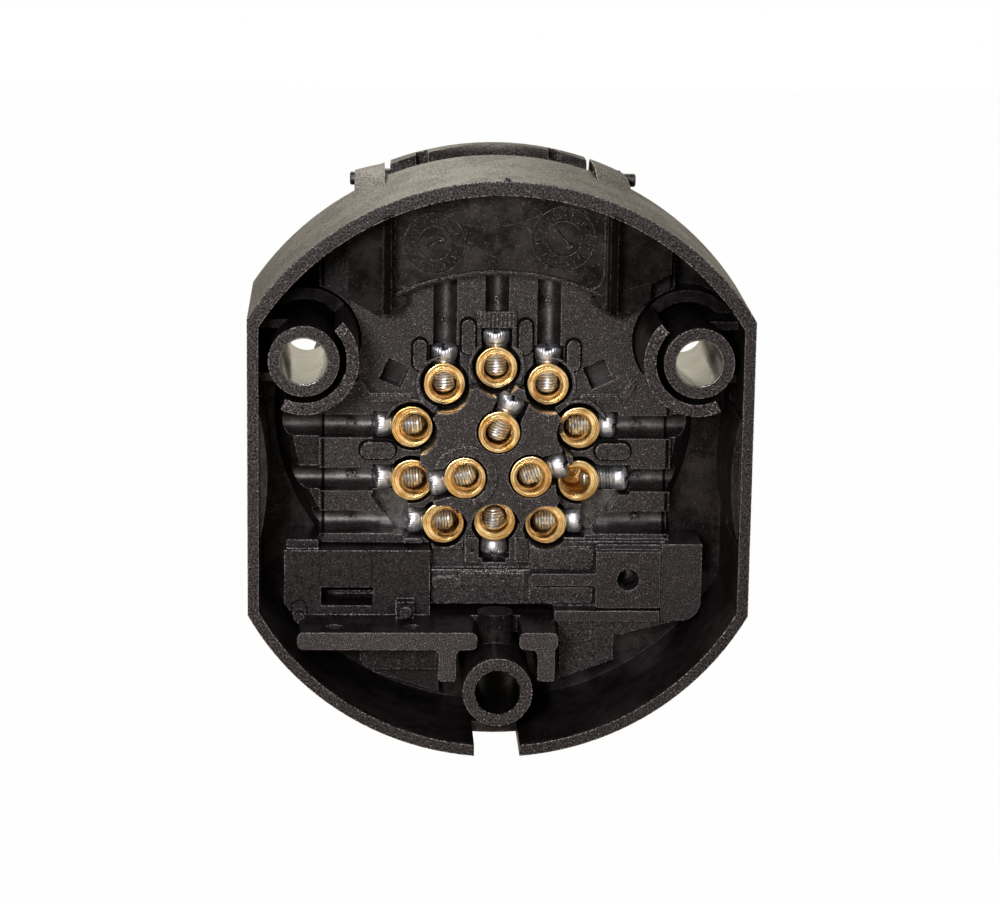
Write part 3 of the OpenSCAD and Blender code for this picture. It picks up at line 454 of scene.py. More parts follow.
finishOf = {
    "housing": housingPlastic, "contact_carrier": carrierPlastic, "switch_cover": coverPlastic,
    "latch_plate": latchPlastic, "lid": lidPlastic, "lid_seal": sealRubber,
}
for name, material in finishOf.items():
    nodes[name].data.materials.clear()
    nodes[name].data.materials.append(material)
print("materials done")


# Faces of a grid of points whose rows close on themselves; closed joins the last row to the first
def gridFaces(rows, columns, closed=False):
    row = np.arange(rows if closed else rows - 1)[:, None]
    column = np.arange(columns)[None, :]
    near, far = row * columns, (row + 1) % rows * columns
    beside = (column + 1) % columns
    return np.stack([near + column, near + beside, far + beside, far + column], -1).reshape(-1, 4).tolist()


# Closed tube from a grid of points, with a fan at each end to its middle point
def tube(points, middles):
    rows, columns = points.shape[:2]
    faces = gridFaces(rows, columns)
    for row, middle in ((0, rows * columns), (rows - 1, rows * columns + 1)):
        ring = row * columns + np.arange(columns)
        faces += np.stack([ring, np.roll(ring, -1), np.full(columns, middle)], -1).tolist()
    return np.vstack([points.reshape(-1, 3), middles]), faces


def fullTurn(steps):
    return np.linspace(0, 2 * np.pi, steps, endpoint=False)


# How far each point lies along its path
def lengthsAlong(points):
    return np.concatenate([[0], np.cumsum(np.linalg.norm(np.diff(points, axis=0), axis=1))])


# A piece from parts, each with points in millimetres, faces as index lists and a number for each point, which
# withTurn gives to the metals as the attribute turn
def meshPiece(name, parts, material, body="socket", withTurn=False, smooth=True, stands=()):
    points, faces = [], []
    for p, f, along in parts:
        faces += [[i + len(points) for i in face] for face in f]
        points += (p * mm).tolist()
    mesh = bpy.data.meshes.new(name)
    mesh.from_pydata(points, [], faces)
    if withTurn:
        turn = np.concatenate([along for p, f, along in parts]).astype(np.float32)
        mesh.attributes.new("turn", "FLOAT", "POINT").data.foreach_set("value", turn)
    work = bmesh.new()
    work.from_mesh(mesh)
    bmesh.ops.recalc_face_normals(work, faces=work.faces)
    work.to_mesh(mesh)
    work.free()
    mesh.materials.append(material)
    piece = bpy.data.objects.new(name, mesh)
    scene.collection.objects.link(piece)
    if smooth:
        mesh.shade_smooth()
        mesh.set_sharp_from_angle(angle=math.radians(38))
    if body:
        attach(piece, body)
    if stands:
        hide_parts(*stands)
    return piece


# Closed surface of revolution: point = origin + axis * s + r * (u cos t + v sin t) for each (s, r) of the profile
def lathe(profile, steps, axis, u, v, origin):
    profile = np.asarray(profile, float)
    axis, u, v, origin = (np.asarray(way, float) for way in (axis, u, v, origin))
    turn = fullTurn(steps)[None, :, None]
    s, r = profile.T[:, :, None, None]
    points = origin + s * axis + r * (np.cos(turn) * u + np.sin(turn) * v)
    length = lengthsAlong(profile)
    along = np.append(np.repeat(length, steps), [0.0, length[-1]])
    return *tube(points, [points[0].mean(0), points[-1].mean(0)]), along


# Section of a raised moulding: places across it in widths, the height of its shoulders in heights, and how deep
# its foot is sunk into the face
ridgeSection = {"across": (-0.5, -0.46, -0.24, 0.24, 0.46, 0.5), "shoulder": 0.55, "sink": 0.12}


# Raised moulding: the section carried along a path in X and Z, standing off the face at depth level
def ridge(path, width, height, level, closed=False, facing=-1):
    path = np.asarray(path, float)
    if closed:
        along = np.roll(path, -1, 0) - np.roll(path, 1, 0)
    else:
        along = np.gradient(path, axis=0)
    along /= np.linalg.norm(along, axis=1)[:, None]
    across = np.stack([-along[:, 1], along[:, 0]], -1)
    sideways = np.array(ridgeSection["across"]) * width
    sink, shoulder = -ridgeSection["sink"], ridgeSection["shoulder"] * height
    rise = np.array([sink, shoulder, height, height, shoulder, sink])
    x = path[:, :1] + across[:, :1] * sideways
    z = path[:, 1:] + across[:, 1:] * sideways
    points = np.stack([x, level + facing * rise + 0 * x, z], -1).reshape(-1, 3)
    rows, columns = len(path), len(rise)
    faces = gridFaces(rows, columns, closed)
    if not closed:
        faces += [list(reversed(range(columns))), [(rows - 1) * columns + j for j in range(columns)]]
    return points, faces, np.zeros(len(points))


def arcPath(centre, radius, start, end, steps=24):
    turn = np.radians(np.linspace(start, end, steps))
    return np.stack([centre[0] + radius * np.cos(turn), centre[1] + radius * np.sin(turn)], -1)


def linePath(*points, step=0.5):
    points = np.asarray(points, float)
    lengths = lengthsAlong(points)
    at = np.linspace(0, lengths[-1], max(3, int(lengths[-1] / step) + 1))
    return np.stack([np.interp(at, lengths, points[:, k]) for k in (0, 1)], -1)


# Axis and the two ways across it for solids turned about the plug's direction
alongPlug = ((0, 1, 0), (1, 0, 0), (0, 0, 1))

# Mouth, rim and groove are steps of the profile: depth from the tip, and radius beyond the bore or the body
contactSizes = {
    "ring": 13.0, "low": 10.2, "tip": 17.5, "lift": 5.0, "seat": 26.0, "sleeveEnd": 40.7,
    "body": 3.05, "bore": 1.9, "depth": 7.0, "cone": 0.9, "sleeve": 1.8, "pin": 1.15, "chamfer": 0.10,
    "fillet": 0.2,
    "mouth": ((0.45, 0.0), (0.42, 0.02), (0.04, 0.30), (0.0, 0.35), (0.0, 0.39)),
    "rim": ((0.0, -0.17), (0.0, -0.12), (0.03, -0.03), (0.1, 0.0)),
    "groove": ((5.2, 0.0), (5.3, -0.12), (5.7, -0.12), (5.8, 0.0)),
    "middle": 0.2, "root": 29.6, "slit": 0.2, "slitStart": 29.5, "sleeveSteps": 17,
    "innerReach": (4.3, 5.3, 5.6), "innerTurn": (86, 209, 335),
    "screwTurn": (90, 90, 180, 180, 180, 270, 0, 0, 0, 90, 66, 195, 17), "loosened": 7, "loose": 2.0,
    "steps": 72, "boreShift": (0.15, 0.15, 0.5, 0.5, 0.5, 0.5, 0.5, 0.5, 0.5, 0.15, 0.25, 0.25, 0.25),
    "boreRows": (4, 7), "mouthShift": 0.85,
}


def contactPlace(i):
    c = contactSizes
    if i < 10:
        reach, turn = (c["low"] if i == 5 else c["ring"]), 90 + 36 * i
    else:
        reach, turn = c["innerReach"][i - 10], c["innerTurn"][i - 10]
    return reach * math.cos(math.radians(turn)), reach * math.sin(math.radians(turn))


# Half of the slit sleeve: a closed section (s, r) swept through the angles that the slit leaves
def halfSleeve(x, z, side):
    c = contactSizes
    start, end, outer, inner = c["slitStart"], c["sleeveEnd"], c["sleeve"], c["pin"]
    slit = c["slit"] / inner
    turn = np.linspace(slit, np.pi - slit, c["sleeveSteps"]) + side * np.pi
    section = np.array([(start, inner), (start, outer), (end - 0.25, outer), (end, outer - 0.2),
                        (end, inner + 0.18), (end - 0.3, inner)])
    s, r = section.T[:, :, None]
    points = np.stack([x + r * np.cos(turn), s + 0 * turn, z + r * np.sin(turn)], -1).reshape(-1, 3)
    n, m = len(section), len(turn)
    faces = [[i * m + j, ((i + 1) % n) * m + j, ((i + 1) % n) * m + j + 1, i * m + j + 1]
             for i in range(n) for j in range(m - 1)]
    faces += [[i * m for i in range(n)], [i * m + m - 1 for i in reversed(range(n))]]
    return points, faces, np.repeat(section[:, 0], m)


# A contact: the clamp with its wire bore, which sits off the axis away from the screw, and the slit sleeve
def contactPiece(i):
    c = contactSizes
    x, z = contactPlace(i)
    tip, seat = c["tip"] - (c["lift"] if i > 9 else 0), c["seat"]
    profile = [(tip + c["depth"] + c["cone"], c["middle"]), (tip + c["depth"], c["bore"]),
               *((tip + s, c["bore"] + r) for s, r in c["mouth"]),
               *((tip + s, c["body"] + r) for s, r in (*c["rim"], *c["groove"])),
               (seat - c["chamfer"], c["body"]), (seat, c["body"] - c["chamfer"]),
               (seat, c["sleeve"] + c["fillet"]), (seat + c["fillet"], c["sleeve"]),
               (c["root"], c["sleeve"]), (c["root"], c["middle"])]
    body = lathe(profile, c["steps"], *alongPlug, (x, 0, z))
    points = body[0]
    away = math.radians(c["screwTurn"][i] + 180)
    shift = c["boreShift"][i] * np.array([math.cos(away), 0, math.sin(away)])
    mouth, rim = (row * c["steps"] for row in c["boreRows"])
    points[:mouth] += shift
    points[mouth:rim] += c["mouthShift"] * shift
    points[-2] += shift
    meshPiece(f"turnedContact{i + 1}", [body, halfSleeve(x, z, 0), halfSleeve(x, z, 1)], brass,
              withTurn=True, stands=(f"contact_{i + 1}",))


for i in range(13):
    contactPiece(i)
print("contacts done")

screwSizes = {
    "shank": 1.68, "pitch": 0.45, "thread": 0.16, "tip": -1.77, "nose": 1.8, "noseLeast": 0.02, "steps": 48,
    "rows": 10, "head": 2.0, "headStart": 3.1, "headLength": 2.4, "foot": 0.55, "shoulder": 0.3, "taper": 0.2,
    "round": 0.85, "slot": 0.35, "slotDepth": 1.0, "slotRow": 9, "teeth": 30, "toothDepth": 0.05,
    "toothRows": (7, 11), "set": 2.8, "overlap": 0.1, "headTurn": 4.0,
}


# Thread: radius = shank - depth * |2 frac(s / pitch - t / 2 pi) - 1|, so the crest climbs one pitch a turn.
# The nose is round: there the radius shrinks by sqrt(nose^2 - s^2) / shank, with s from the contact's axis.
def threadedShank(start, end):
    c = screwSizes
    turn = fullTurn(c["steps"])
    s = np.linspace(start, end, int((end - start) / c["pitch"] * c["rows"]) + 1)[:, None]
    wave = np.abs(2 * np.mod(s / c["pitch"] - turn / (2 * np.pi), 1) - 1)
    inward = np.minimum(s - start + c["tip"], 0)
    taper = np.minimum(np.sqrt(np.maximum(c["nose"] ** 2 - inward ** 2, c["noseLeast"])) / c["shank"], 1)
    r = (c["shank"] - c["thread"] * wave) * taper
    points = np.stack([s + 0 * turn, r * np.cos(turn), r * np.sin(turn)], -1)
    return *tube(points, [(start, 0, 0), (end, 0, 0)]), np.append((1 - wave).reshape(-1), [1, 1])


# Head: side by profile, its outer edge serrated by a cosine of the angle, the end face sunk in the slot
def screwHead(start):
    c = screwSizes
    end = start + c["headLength"]
    low, full, edge = start + c["shoulder"], c["head"], c["round"]
    side = [(start, 0.3), (start, full - c["foot"]), (low, full - c["taper"])]
    side += [(low + (c["headLength"] - edge - c["shoulder"]) * k / 5, full - c["taper"] * (1 - k / 5) ** 2)
             for k in range(1, 5)]
    side += [(end - edge + edge * math.sin(b), full - edge + edge * math.cos(b))
             for b in np.linspace(0, np.pi / 2, 6)]
    turn = fullTurn(4 * c["teeth"])
    profile = np.array(side + [(end, r) for r in np.linspace(full - edge, 0.05, 14)[1:]])
    row = np.arange(len(profile))[:, None]
    first, last = c["toothRows"]
    depth = np.where((row >= first) & (row <= last), c["toothDepth"], 0.0)
    s, r = profile.T[:, :, None]
    r = r + depth * (np.cos(turn * c["teeth"]) - 1)
    y, z = r * np.cos(turn), r * np.sin(turn)
    inSlot = (np.abs(z) < c["slot"]) & (row >= c["slotRow"])
    s = np.where(inSlot, end - c["slotDepth"], s + 0 * turn)
    points, faces = tube(np.stack([s, y, z], -1), [(start, 0, 0), (end - c["slotDepth"], 0, 0)])
    return points, faces, np.full(len(points), c["headTurn"])


def screwParts(i):
    c = screwSizes
    x, z = contactPlace(i)
    shift = contactSizes["loose"] if i == contactSizes["loosened"] else 0.0
    y = contactSizes["tip"] + c["set"] - (contactSizes["lift"] if i > 9 else 0)
    turn = math.radians(contactSizes["screwTurn"][i])
    out = np.array([math.cos(turn), 0, math.sin(turn)])
    basis = np.array([out, (0, 1, 0), np.cross(out, (0, 1, 0))])
    for p, f, a in (threadedShank(c["tip"] + shift, c["headStart"] + c["overlap"] + shift),
                    screwHead(c["headStart"] + shift)):
        yield p @ basis + np.array([x, y, z]), f, a


meshPiece("threadedScrews", [part for i in range(13) for part in screwParts(i)], zinc,
          withTurn=True, stands=("clamp_screws",))
print("screws done")

# Raised rims round the pockets and lugs beside them: radius, width, height, steps, and the arcs as the contact's
# index with the start and end in degrees. Fine bars, as width, height and level, bridge the wall at the top.
carrierRims = {
    "level": 18.0, "rows": (
        (3.98, 0.55, 0.45, 24, ((1, 100, 225), (9, -45, 80), (2, 62, 165), (8, 15, 118), (0, -30, 55),
                                (0, 125, 210))),
        (3.1, 1.3, 0.75, 9, ((3, 34, 66), (4, 34, 66), (8, 164, 196), (6, 114, 146)))),
    "bridge": (0.32, 0.2, 17.1), "bridgeLow": 19.2, "bridgeHigh": 21.2, "bridgesAt": np.linspace(-2.4, 2.4, 9),
}
rims = carrierRims
parts = [ridge(arcPath(contactPlace(i), radius, start, end, steps), width, height, rims["level"])
         for radius, width, height, steps, arcs in rims["rows"] for i, start, end in arcs]
parts += [ridge(linePath((x, rims["bridgeLow"]), (x, rims["bridgeHigh"])), *rims["bridge"])
          for x in rims["bridgesAt"]]
meshPiece("pocketRims", parts, carrierPlastic)

# Painted shadow: near black lines in the corner at the foot of each bar on the carrier's face. A size is a width,
# a height and a level here and below, and each bar has its width and its two ends.
paintedBarShadows = {
    "size": (0.42, 0.03, 18.0), "gap": 0.19, "bars": (
        (1.9, -11.3, 13.6, -11.3, 16.2), (1.9, 11.3, 13.6, 11.3, 16.2), (1.9, -4.2, 16.0, -4.2, 19.2),
        (1.9, 4.2, 16.0, 4.2, 19.2), (2.5, -18.7, 0.5, -16.1, 0.5), (2.5, 16.1, 0.5, 18.7, 0.5)),
}


# Path round a bar with round ends: half a circle about each end, joined by the straight sides
def barPath(x0, z0, x1, z1, radius):
    way = math.degrees(math.atan2(z1 - z0, x1 - x0))
    return np.vstack([arcPath((x1, z1), radius, way - 90, way + 90, 13),
                      arcPath((x0, z0), radius, way + 90, way + 270, 13)])


lines = paintedBarShadows
parts = [ridge(barPath(*ends, width / 2 + lines["gap"]), *lines["size"], True)
         for width, *ends in lines["bars"]]
meshPiece("paintedBarShadows", parts, seamAndShadowPlastic)

# Arch, flow lines, corners and date clocks on the wall under the dome. Tick, beadAt and arrow are in the clock's
# radius, and the other lengths in millimetres.
roofMarks = {
    "level": 12.0, "arch": ((0, -7.1), 35.2, 64.5, 115.5, 60), "archSize": (0.75, 0.3, 12.0),
    "flowArc": ((-1.8, 50.6), 16, -103, -61, 30), "flowArcSize": (0.16, 0.07, 12.0),
    "flowLine": ((-5.5, 33.2), (-2.5, 31.0), (1.5, 29.4)), "flowLineSize": (0.14, 0.06, 12.0),
    "corner": ((15.2, 37.0), (15.2, 27.6), (14.9, 26.6), (14.2, 25.9), (12.6, 25.6)),
    "cornerSize": (0.4, 0.18, 12.0), "rings": (1.0, 0.56), "ringSize": (0.36, 0.3, 12.0),
    "ticks": 12, "tick": (0.68, 0.86), "tickSize": (0.45, 0.3, 12.0), "beadAt": 0.78, "beadSize": 0.3,
    "bead": ((0.1, 0.05), (0.1, 1), (-0.12, 0.9), (-0.24, 0.5), (-0.27, 0.1)), "arrow": (-0.38, 0.40),
    "arrowSize": (0.5, 0.42, 12.0), "barb": (-0.8, 0.55), "barbSize": (0.4, 0.38, 12.0),
}
marks = roofMarks
bead = [(marks["level"] + s, r * marks["beadSize"]) for s, r in marks["bead"]]
parts = [ridge(arcPath(*marks["arch"]), *marks["archSize"]),
         ridge(arcPath(*marks["flowArc"]), *marks["flowArcSize"]),
         ridge(linePath(*marks["flowLine"]), *marks["flowLineSize"])]
parts += [ridge(linePath(*((side * x, z) for x, z in marks["corner"])), *marks["cornerSize"])
          for side in (-1, 1)]
for x, z, radius, turn in dateClocks:
    centre = np.array([x, z])
    parts += [ridge(arcPath(centre, radius * share, 0, 352.5, 48), *marks["ringSize"], True)
              for share in marks["rings"]]
    for k in range(marks["ticks"]):
        a = math.radians(turn + 360 * k / marks["ticks"])
        way = np.array([math.cos(a), math.sin(a)])
        parts.append(ridge(linePath(*(centre + share * radius * way for share in marks["tick"]), step=0.3),
                           *marks["tickSize"]))
        a += math.pi / marks["ticks"]
        reach = marks["beadAt"] * radius
        parts.append(lathe(bead, 10, *alongPlug, (x + reach * math.cos(a), 0, z + reach * math.sin(a))))
    way = np.array([math.cos(math.radians(turn)), math.sin(math.radians(turn))])
    across = np.array([-way[1], way[0]])
    tail, tip = (centre + share * radius * way for share in marks["arrow"])
    parts.append(ridge(linePath(tail, tip), *marks["arrowSize"]))
    for side in (-1, 1):
        barb = tip + marks["barb"][0] * way + marks["barb"][1] * side * across
        parts.append(ridge(linePath(tip, barb, step=0.3), *marks["barbSize"]))
meshPiece("roofMarks", parts, markPlastic)


# Flat solid between two depths, from its outline in X and Z
def flatSolid(outline, near, far):
    outline = np.asarray(outline, float)
    n = len(outline)
    points = np.vstack([np.insert(outline, 1, depth, 1) for depth in (near, far)])
    here, beside = np.arange(n), (np.arange(n) + 1) % n
    sides = np.stack([here, beside, beside + n, here + n], -1).tolist()
    return points, sides + [list(range(n)), list(range(2 * n - 1, n - 1, -1))], np.zeros(2 * n)


# Panels at the eaves, where the wall under the dome meets the shell, with two folds on each
eaveSizes = {
    "near": 12.6, "far": 14.6, "outline": (
        (22.0, 26.6), (21.9, 24.0), (19.8, 22.7), (17.8, 21.55), (17.05, 21.25), (16.35, 21.35), (15.3, 22.0),
        (13.4, 23.3), (13.4, 24.2), (15.4, 24.6)),
    "folds": (((17.7, 21.9), (16.5, 23.5)), ((15.2, 22.4), (16.0, 23.5))), "foldSize": (0.55, 0.45, 12.6),
}
eave = eaveSizes
parts = []
for side in (-1, 1):
    parts.append(flatSolid([(side * x, z) for x, z in eave["outline"]], eave["near"], eave["far"]))
    for fold in eave["folds"]:
        parts.append(ridge(linePath(*((side * x, z) for x, z in fold)), *eave["foldSize"]))
meshPiece("eavePanels", parts, housingPlastic)

# Round ejector marks at both ends of the curved ribs, and the burr left on the rim at the top
rimMarks = {
    "boss": (28.0, 17.0), "ribRadius": 6.95, "turns": (39, -108), "radius": 0.62, "ringSize": (0.2, 0.09, 0.6),
    "bar": (0.2, 0.15), "barSize": (0.22, 0.09, 0.6), "burr": (0.4, 0.02, 42.8),
    "burrProfile": ((0.02, 0.05), (0.0, 0.55), (0.4, 0.55), (0.9, 0.33), (1.1, 0.05)),
}
marks = rimMarks
parts = []
for side in (-1, 1):
    for turn in marks["turns"]:
        a = math.radians(turn if side < 0 else 180 - turn)
        way = np.array([math.cos(a), math.sin(a)])
        centre = (side * marks["boss"][0], marks["boss"][1]) + marks["ribRadius"] * way
        parts.append(ridge(arcPath(centre, marks["radius"], 0, 340, 18), *marks["ringSize"], True))
        half = np.array(marks["bar"])
        parts.append(ridge(linePath(centre - half, centre + half, step=0.1), *marks["barSize"]))
parts.append(lathe(marks["burrProfile"], 7, *alongPlug, marks["burr"]))
meshPiece("rimMarks", parts, housingPlastic)

# Ramps that lead from the dome up to the hinge ears: radius = dome + rise * smoothstep of the way along Y. The
# spans are the two ends in X and the extra lift at the first; a span with lift also gets a cap over its ear.
earRamps = {
    "spans": ((-20.97, -16.53, 1.5), (14.43, 19.57, 0.0)), "from": 17.5, "to": 26.6, "rim": 42.7, "front": 43.3,
    "depth": 26.5, "top": 44.16, "sink": 0.5, "axisY": 34.3, "axisZ": 38.7, "earRadius": 3.2, "fall": 0.33,
    "capEnd": 0.98,
}
ramp = earRamps
start, end, top, axisY, axisZ = (ramp[part] for part in ("from", "to", "top", "axisY", "axisZ"))
parts = []
for left, right, rise in ramp["spans"]:
    x = np.linspace(left, right, 9)[None, :]
    t = np.linspace(0, 1, 14)[:, None]
    y = start + (end - start) * t + 0 * x
    dome = ramp["rim"] + (ramp["front"] - ramp["rim"]) * y / ramp["depth"]
    radius = dome + (top - dome) * t * t * (3 - 2 * t)
    lift = rise * (right - x) / (right - left)
    over = np.stack([x + 0 * y, y, np.sqrt(radius ** 2 - x ** 2) + lift * t * t], -1)
    under = np.stack([x + 0 * y, y, np.sqrt((dome - ramp["sink"]) ** 2 - x ** 2)], -1)
    if rise:
        # Over the ear the lift falls slowly, and behind the hinge's axis the cap rounds off in a quarter ellipse
        y = np.linspace(end, axisY + ramp["capEnd"] * ramp["earRadius"], 15)[1:, None] + 0 * x
        share = np.clip((y - end) / (axisY - end), 0, 1)
        bend = np.sqrt(1 - np.clip((y - axisY) / ramp["earRadius"], 0, 1) ** 2)
        arch = np.sqrt(top ** 2 - x ** 2) - axisZ
        cap = axisZ + (arch + lift * (1 - ramp["fall"] * share)) * bend
        base = axisZ + (arch - ramp["sink"]) * bend
        over = np.vstack([over, np.stack([x + 0 * y, y, cap], -1)])
        under = np.vstack([under, np.stack([x + 0 * y, y, base], -1)])
    shellRows = np.concatenate([over, under[:, ::-1]], 1)
    rows, columns = shellRows.shape[:2]
    ends = [list(range(columns)), [(rows - 1) * columns + j for j in reversed(range(columns))]]
    parts.append((shellRows.reshape(-1, 3), gridFaces(rows, columns) + ends, np.zeros(rows * columns)))
meshPiece("earRamps", parts, housingPlastic)

# Seams of the switch cover as lines in X and Z, the keyhole round its post, and its pin
coverMarks = {
    "seams": (((-25.85, -14.2), (-25.85, -19.4)), ((-18.2, -14.2), (-18.2, -19.4)),
              ((-18.2, -22.4), (-18.2, -23.6))), "seamSize": (0.16, 0.02, 14.0),
    "post": (-28.9, -22.6), "postRadius": 1.15, "postDrop": 1.2, "postSize": (0.3, 0.03, 14.0),
    "pin": (-13.2, 0, -22.2), "pinProfile": ((12.4, 0.2), (12.4, 1.0), (9.9, 1.0), (9.65, 0.75), (9.65, 0.2)),
}
marks = coverMarks
parts = [ridge(linePath(*seam), *marks["seamSize"]) for seam in marks["seams"]]
x, z = marks["post"]
foot = z - marks["postDrop"]
keyhole = np.vstack([[(x - marks["postRadius"], foot)], arcPath((x, z), marks["postRadius"], 180, 0),
                     [(x + marks["postRadius"], foot)]])
parts.append(ridge(linePath(*keyhole, step=0.2), *marks["postSize"]))
meshPiece("coverSeams", parts, seamAndShadowPlastic)
pin = lathe(marks["pinProfile"], 40, *alongPlug, marks["pin"])
meshPiece("coverPin", [pin], coverPlastic)

# Numbers of the contacts: text, X, Z and turn in degrees; the last one is on the leg, smaller and nearer
digitMarks = {
    "rise": 0.36, "size": 2.1, "level": 21.75, "legSize": 1.5, "legLevel": 17.1, "leg": ("6", -3.35, -14.6, 0),
    "digits": (("4", -7.65, 19.4, 0), ("5", 0.0, 22.3, 0), ("6", 7.65, 22.4, 0), ("3", -21.3, 4.0, 90),
               ("7", 21.3, 4.0, 90), ("2", -21.3, -4.0, 90), ("8", 21.3, -4.0, 90), ("1", -21.3, -10.5, 90),
               ("9", 21.3, -10.5, 90)),
}


# A digit as a closed solid: the outline of the letter form raised off the plane y = level, turned about Y
def digitPart(text, x, z, turn, size, level):
    curve = bpy.data.curves.new("digit", "FONT")
    curve.body, curve.size, curve.extrude, curve.bevel_depth = text, size, digitMarks["rise"], 0.0
    curve.align_x, curve.align_y, curve.resolution_u = "CENTER", "CENTER", 3
    form = bpy.data.objects.new("digit", curve)
    mesh = bpy.data.meshes.new_from_object(form)
    flat = np.array([v.co for v in mesh.vertices], float)
    faces = [list(p.vertices) for p in mesh.polygons]
    bpy.data.objects.remove(form)
    bpy.data.curves.remove(curve)
    bpy.data.meshes.remove(mesh)
    a = math.radians(turn)
    across = flat[:, 0] * math.cos(a) - flat[:, 1] * math.sin(a)
    upward = flat[:, 0] * math.sin(a) + flat[:, 1] * math.cos(a)
    return np.stack([x + across, level - flat[:, 2], z + upward], -1), faces, np.zeros(len(flat))


marks = digitMarks
parts = [digitPart(*digit, marks["size"], marks["level"]) for digit in marks["digits"]]
parts.append(digitPart(*marks["leg"], marks["legSize"], marks["legLevel"]))
meshPiece("contactNumbers", parts, digitPlastic, smooth=False)
print("moulded marks done")

# The pin's profile is in X and radius; the other lengths are those of the spring and of what its legs lean on
hingeSizes = {
    "y": 34.3, "z": 38.7, "pinProfile": (
        (-21.7, 0.1), (-21.7, 0.8), (-21.5, 1.0), (-18.3, 1.0), (-17.9, 1.5), (18.9, 1.5), (19.3, 1.0),
        (21.1, 1.0), (21.3, 0.8), (21.3, 0.1)),
    "coil": 2.6, "wire": 0.45, "wireSteps": 12, "pitch": 1.02, "start": -5.69, "turns": 9 + 4 / 14,
    "turnSteps": 28, "wallY": 26.97, "wallZ": 32.2, "lidY": 48.48, "legSteps": 8,
}
h = hingeSizes
pin = lathe(h["pinProfile"], 48, (1, 0, 0), (0, 1, 0), (0, 0, 1), (0, h["y"], h["z"]))
meshPiece("burnishedPin", [pin], darkSteel, withTurn=True, stands=("hinge_pin",))

# Spring: a helix round the pin, x = start + pitch t, with straight legs; the wire is a circle set across it
turn = np.radians(180 - 360 * np.linspace(0, h["turns"], int(h["turns"] * h["turnSteps"]) + 1))
x = h["start"] + h["pitch"] * np.linspace(0, h["turns"], len(turn))
out = np.stack([0 * turn, np.cos(turn), np.sin(turn)], -1)
centre = np.stack([x, h["y"] + 0 * x, h["z"] + 0 * x], -1) + h["coil"] * out
way = np.array([0, math.sin(turn[-1]), -math.cos(turn[-1])])
share = np.linspace(0, 1, h["legSteps"] + 1)[:, None]
wallLeg = np.array([x[0], h["wallY"], h["wallZ"]]) * (1 - share) + centre[0] * share
lidLeg = centre[-1] + share * (h["lidY"] - centre[-1][1]) / way[1] * way
centre = np.vstack([wallLeg[:-1], centre, lidLeg[1:]])
out = np.vstack([np.repeat(out[:1], h["legSteps"], 0), out, np.repeat(out[-1:], h["legSteps"], 0)])
ring = fullTurn(h["wireSteps"])[:, None]
section = np.cos(ring) * out[:, None] + np.sin(ring) * np.array([1, 0, 0])
points, faces = tube(centre[:, None] + h["wire"] * section, [centre[0], centre[-1]])
coil = (points, faces, np.zeros(len(points)))
spring = meshPiece("coiledSpring", [coil], springSteel, None, stands=("lid_spring",))
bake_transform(spring)

# Rings on the lid as radius and size, and the bars of its grip
lidMarks = {"rings": ((24.5, 0.9, 0.35, 50.7), (26.0, 0.5, 0.25, 50.7)), "gripLow": -31.2, "gripGap": 0.7,
            "grips": 5, "gripHalf": 6.5, "gripSize": (0.4, 0.3, 50.7)}
marks = lidMarks
half = marks["gripHalf"]
parts = [ridge(arcPath((0, 0), radius, 0, 357, 120), *size, True, facing=1) for radius, *size in marks["rings"]]
parts += [ridge(linePath((-half, z), (half, z)), *marks["gripSize"], facing=1)
          for z in (marks["gripLow"] + marks["gripGap"] * k for k in range(marks["grips"]))]
meshPiece("lidMouldings", parts, lidPlastic, "lid")
print("hinge and lid done")

# The photo's camera, found from the contacts and bosses in the picture
cameraSizes = {"at": (-19.955, -431.424, 97.526), "target": (0.23, 8.0, 2.66), "roll": 0.80, "lens": 111.888}


def unit(v):
    return v / np.linalg.norm(v)


cameraAt = np.array(cameraSizes["at"])
roll = math.radians(cameraSizes["roll"])
forward = unit(np.array(cameraSizes["target"]) - cameraAt)
right = unit(np.cross(forward, (0, 0, 1)))
up = np.cross(right, forward)
rolledRight = right * math.cos(roll) + up * math.sin(roll)
rolledUp = up * math.cos(roll) - right * math.sin(roll)
lens = bpy.data.cameras.new("photoCamera")
lens.lens, lens.sensor_width, lens.sensor_fit = cameraSizes["lens"], 36.0, "HORIZONTAL"
lens.clip_start, lens.clip_end = 0.01, 10.0
camera = bpy.data.objects.new("photoCamera", lens)
placed = np.eye(4)
placed[:3] = np.stack([rolledRight, rolledUp, -forward, cameraAt * mm], -1)
camera.matrix_world = Matrix(placed.tolist())
scene.collection.objects.link(camera)
scene.camera = camera
scene.view_settings.view_transform = "Standard"


# A round light in metres and watts
def areaLight(name, at, target, size, energy, colour=(1, 1, 1)):
    data = bpy.data.lights.new(name, "AREA")
    data.shape, data.size, data.energy, data.color = "DISK", size, energy, colour
    light = bpy.data.objects.new(name, data)
    light.location = Vector(at)
    light.rotation_mode = "QUATERNION"
    light.rotation_quaternion = (Vector(target) - Vector(at)).to_track_quat("-Z", "Y")
    scene.collection.objects.link(light)


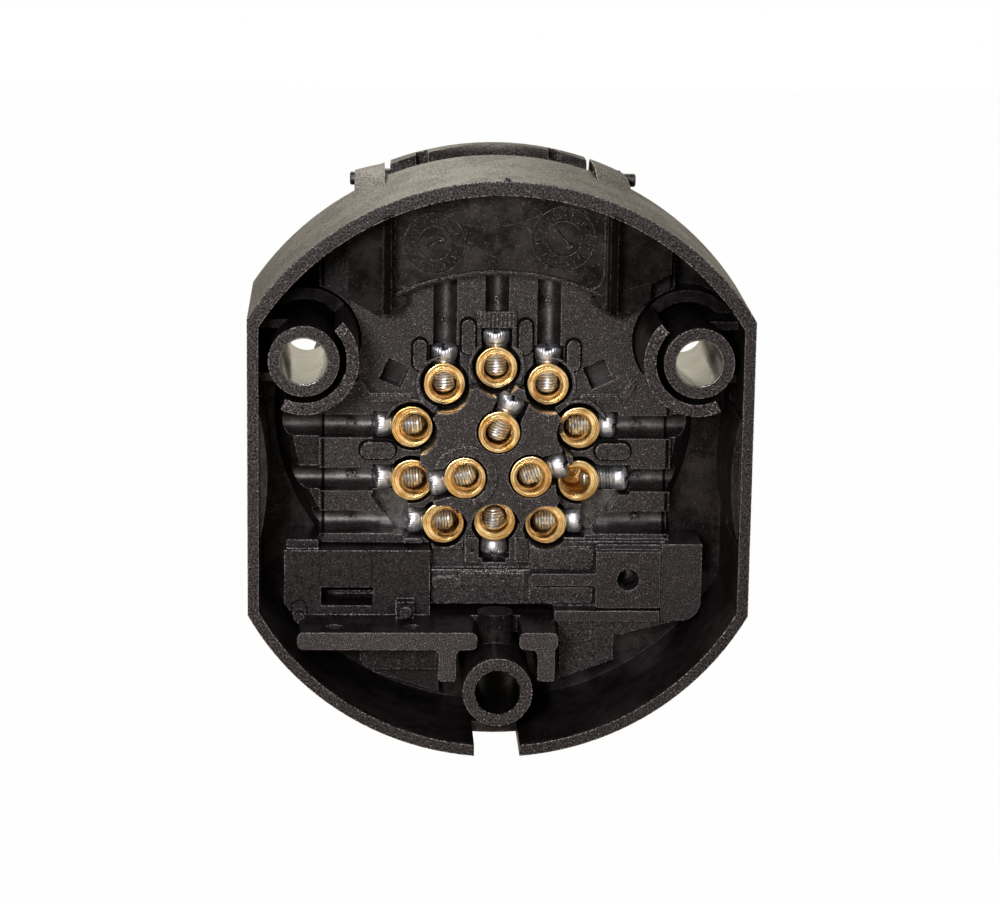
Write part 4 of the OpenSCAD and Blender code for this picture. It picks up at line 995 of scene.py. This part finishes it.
areaLight("flash", (-0.10, -0.44, 0.12), (0, 0.01, 0), 0.08, 1.65, (1.0, 0.945, 0.93))
areaLight("low", (-0.07, -0.44, -0.20), (0, 0.01, -0.01), 0.08, 1.0, (1.0, 0.945, 0.93))
areaLight("above", (-0.02, -0.33, 0.46), (0, 0.02, 0), 0.10, 0.92)
areaLight("behind", (-0.06, 0.34, 0.30), (0, 0.02, 0.03), 0.25, 0.75, (1.0, 0.94, 0.80))

roomSizes = {"paper": (1.0, 0.92, 0.74), "dim": (0.085, 0.085, 0.09), "turn": (-0.05, 0.45), "floorHalf": 1.5,
             "floorLevel": -0.09, "floorTone": (0.62, 0.57, 0.48, 1), "floorWhite": 0.985}


# Camera rays see a share of white, and all others what is lit or shines on the socket
def whiteToCamera(tree, other, white, share, output):
    seen = addNode(tree, "LightPath").outputs["Is Camera Ray"]
    mixed = addNode(tree, "MixShader")
    feed(tree, mixed.inputs[0], multiply(tree, seen, share))
    join(tree, other, mixed, 0, 1)
    join(tree, addNode(tree, white, {"Color": (1, 1, 1, 1), "Strength": 1.0}), mixed, 0, 2)
    join(tree, mixed, addNode(tree, output))


# The room: white paper behind the socket and a dim room before it, as a step along Y
world = bpy.data.worlds.new("studio")
scene.world = world
world.use_nodes = True
tree = world.node_tree
tree.nodes.clear()
split = join(tree, addNode(tree, "TexCoord"), addNode(tree, "SeparateXYZ"), "Generated")
room = stepNode(tree, split.outputs[1], *roomSizes["turn"])
roomLight = addNode(tree, "Background")
feed(tree, roomLight.inputs[0], blendColour(tree, room, roomSizes["dim"], roomSizes["paper"]))
whiteToCamera(tree, roomLight, "Background", 1.0, "OutputWorld")

# Pale floor well below the socket: near white to the camera, with a little of its own shading
floorMesh = bpy.data.meshes.new("floor")
half, level = roomSizes["floorHalf"], roomSizes["floorLevel"]
corners = [(-half, -half, level), (half, -half, level), (half, half, level), (-half, half, level)]
floorMesh.from_pydata(corners, [], [(0, 1, 2, 3)])
floor = bpy.data.objects.new("floor", floorMesh)
scene.collection.objects.link(floor)
floorPaint, tree = newTree("floorPaint")
pale = addNode(tree, "BsdfDiffuse", {"Color": roomSizes["floorTone"]})
whiteToCamera(tree, pale, "Emission", roomSizes["floorWhite"], "OutputMaterial")
floorMesh.materials.append(floorPaint)
print("camera and light done")
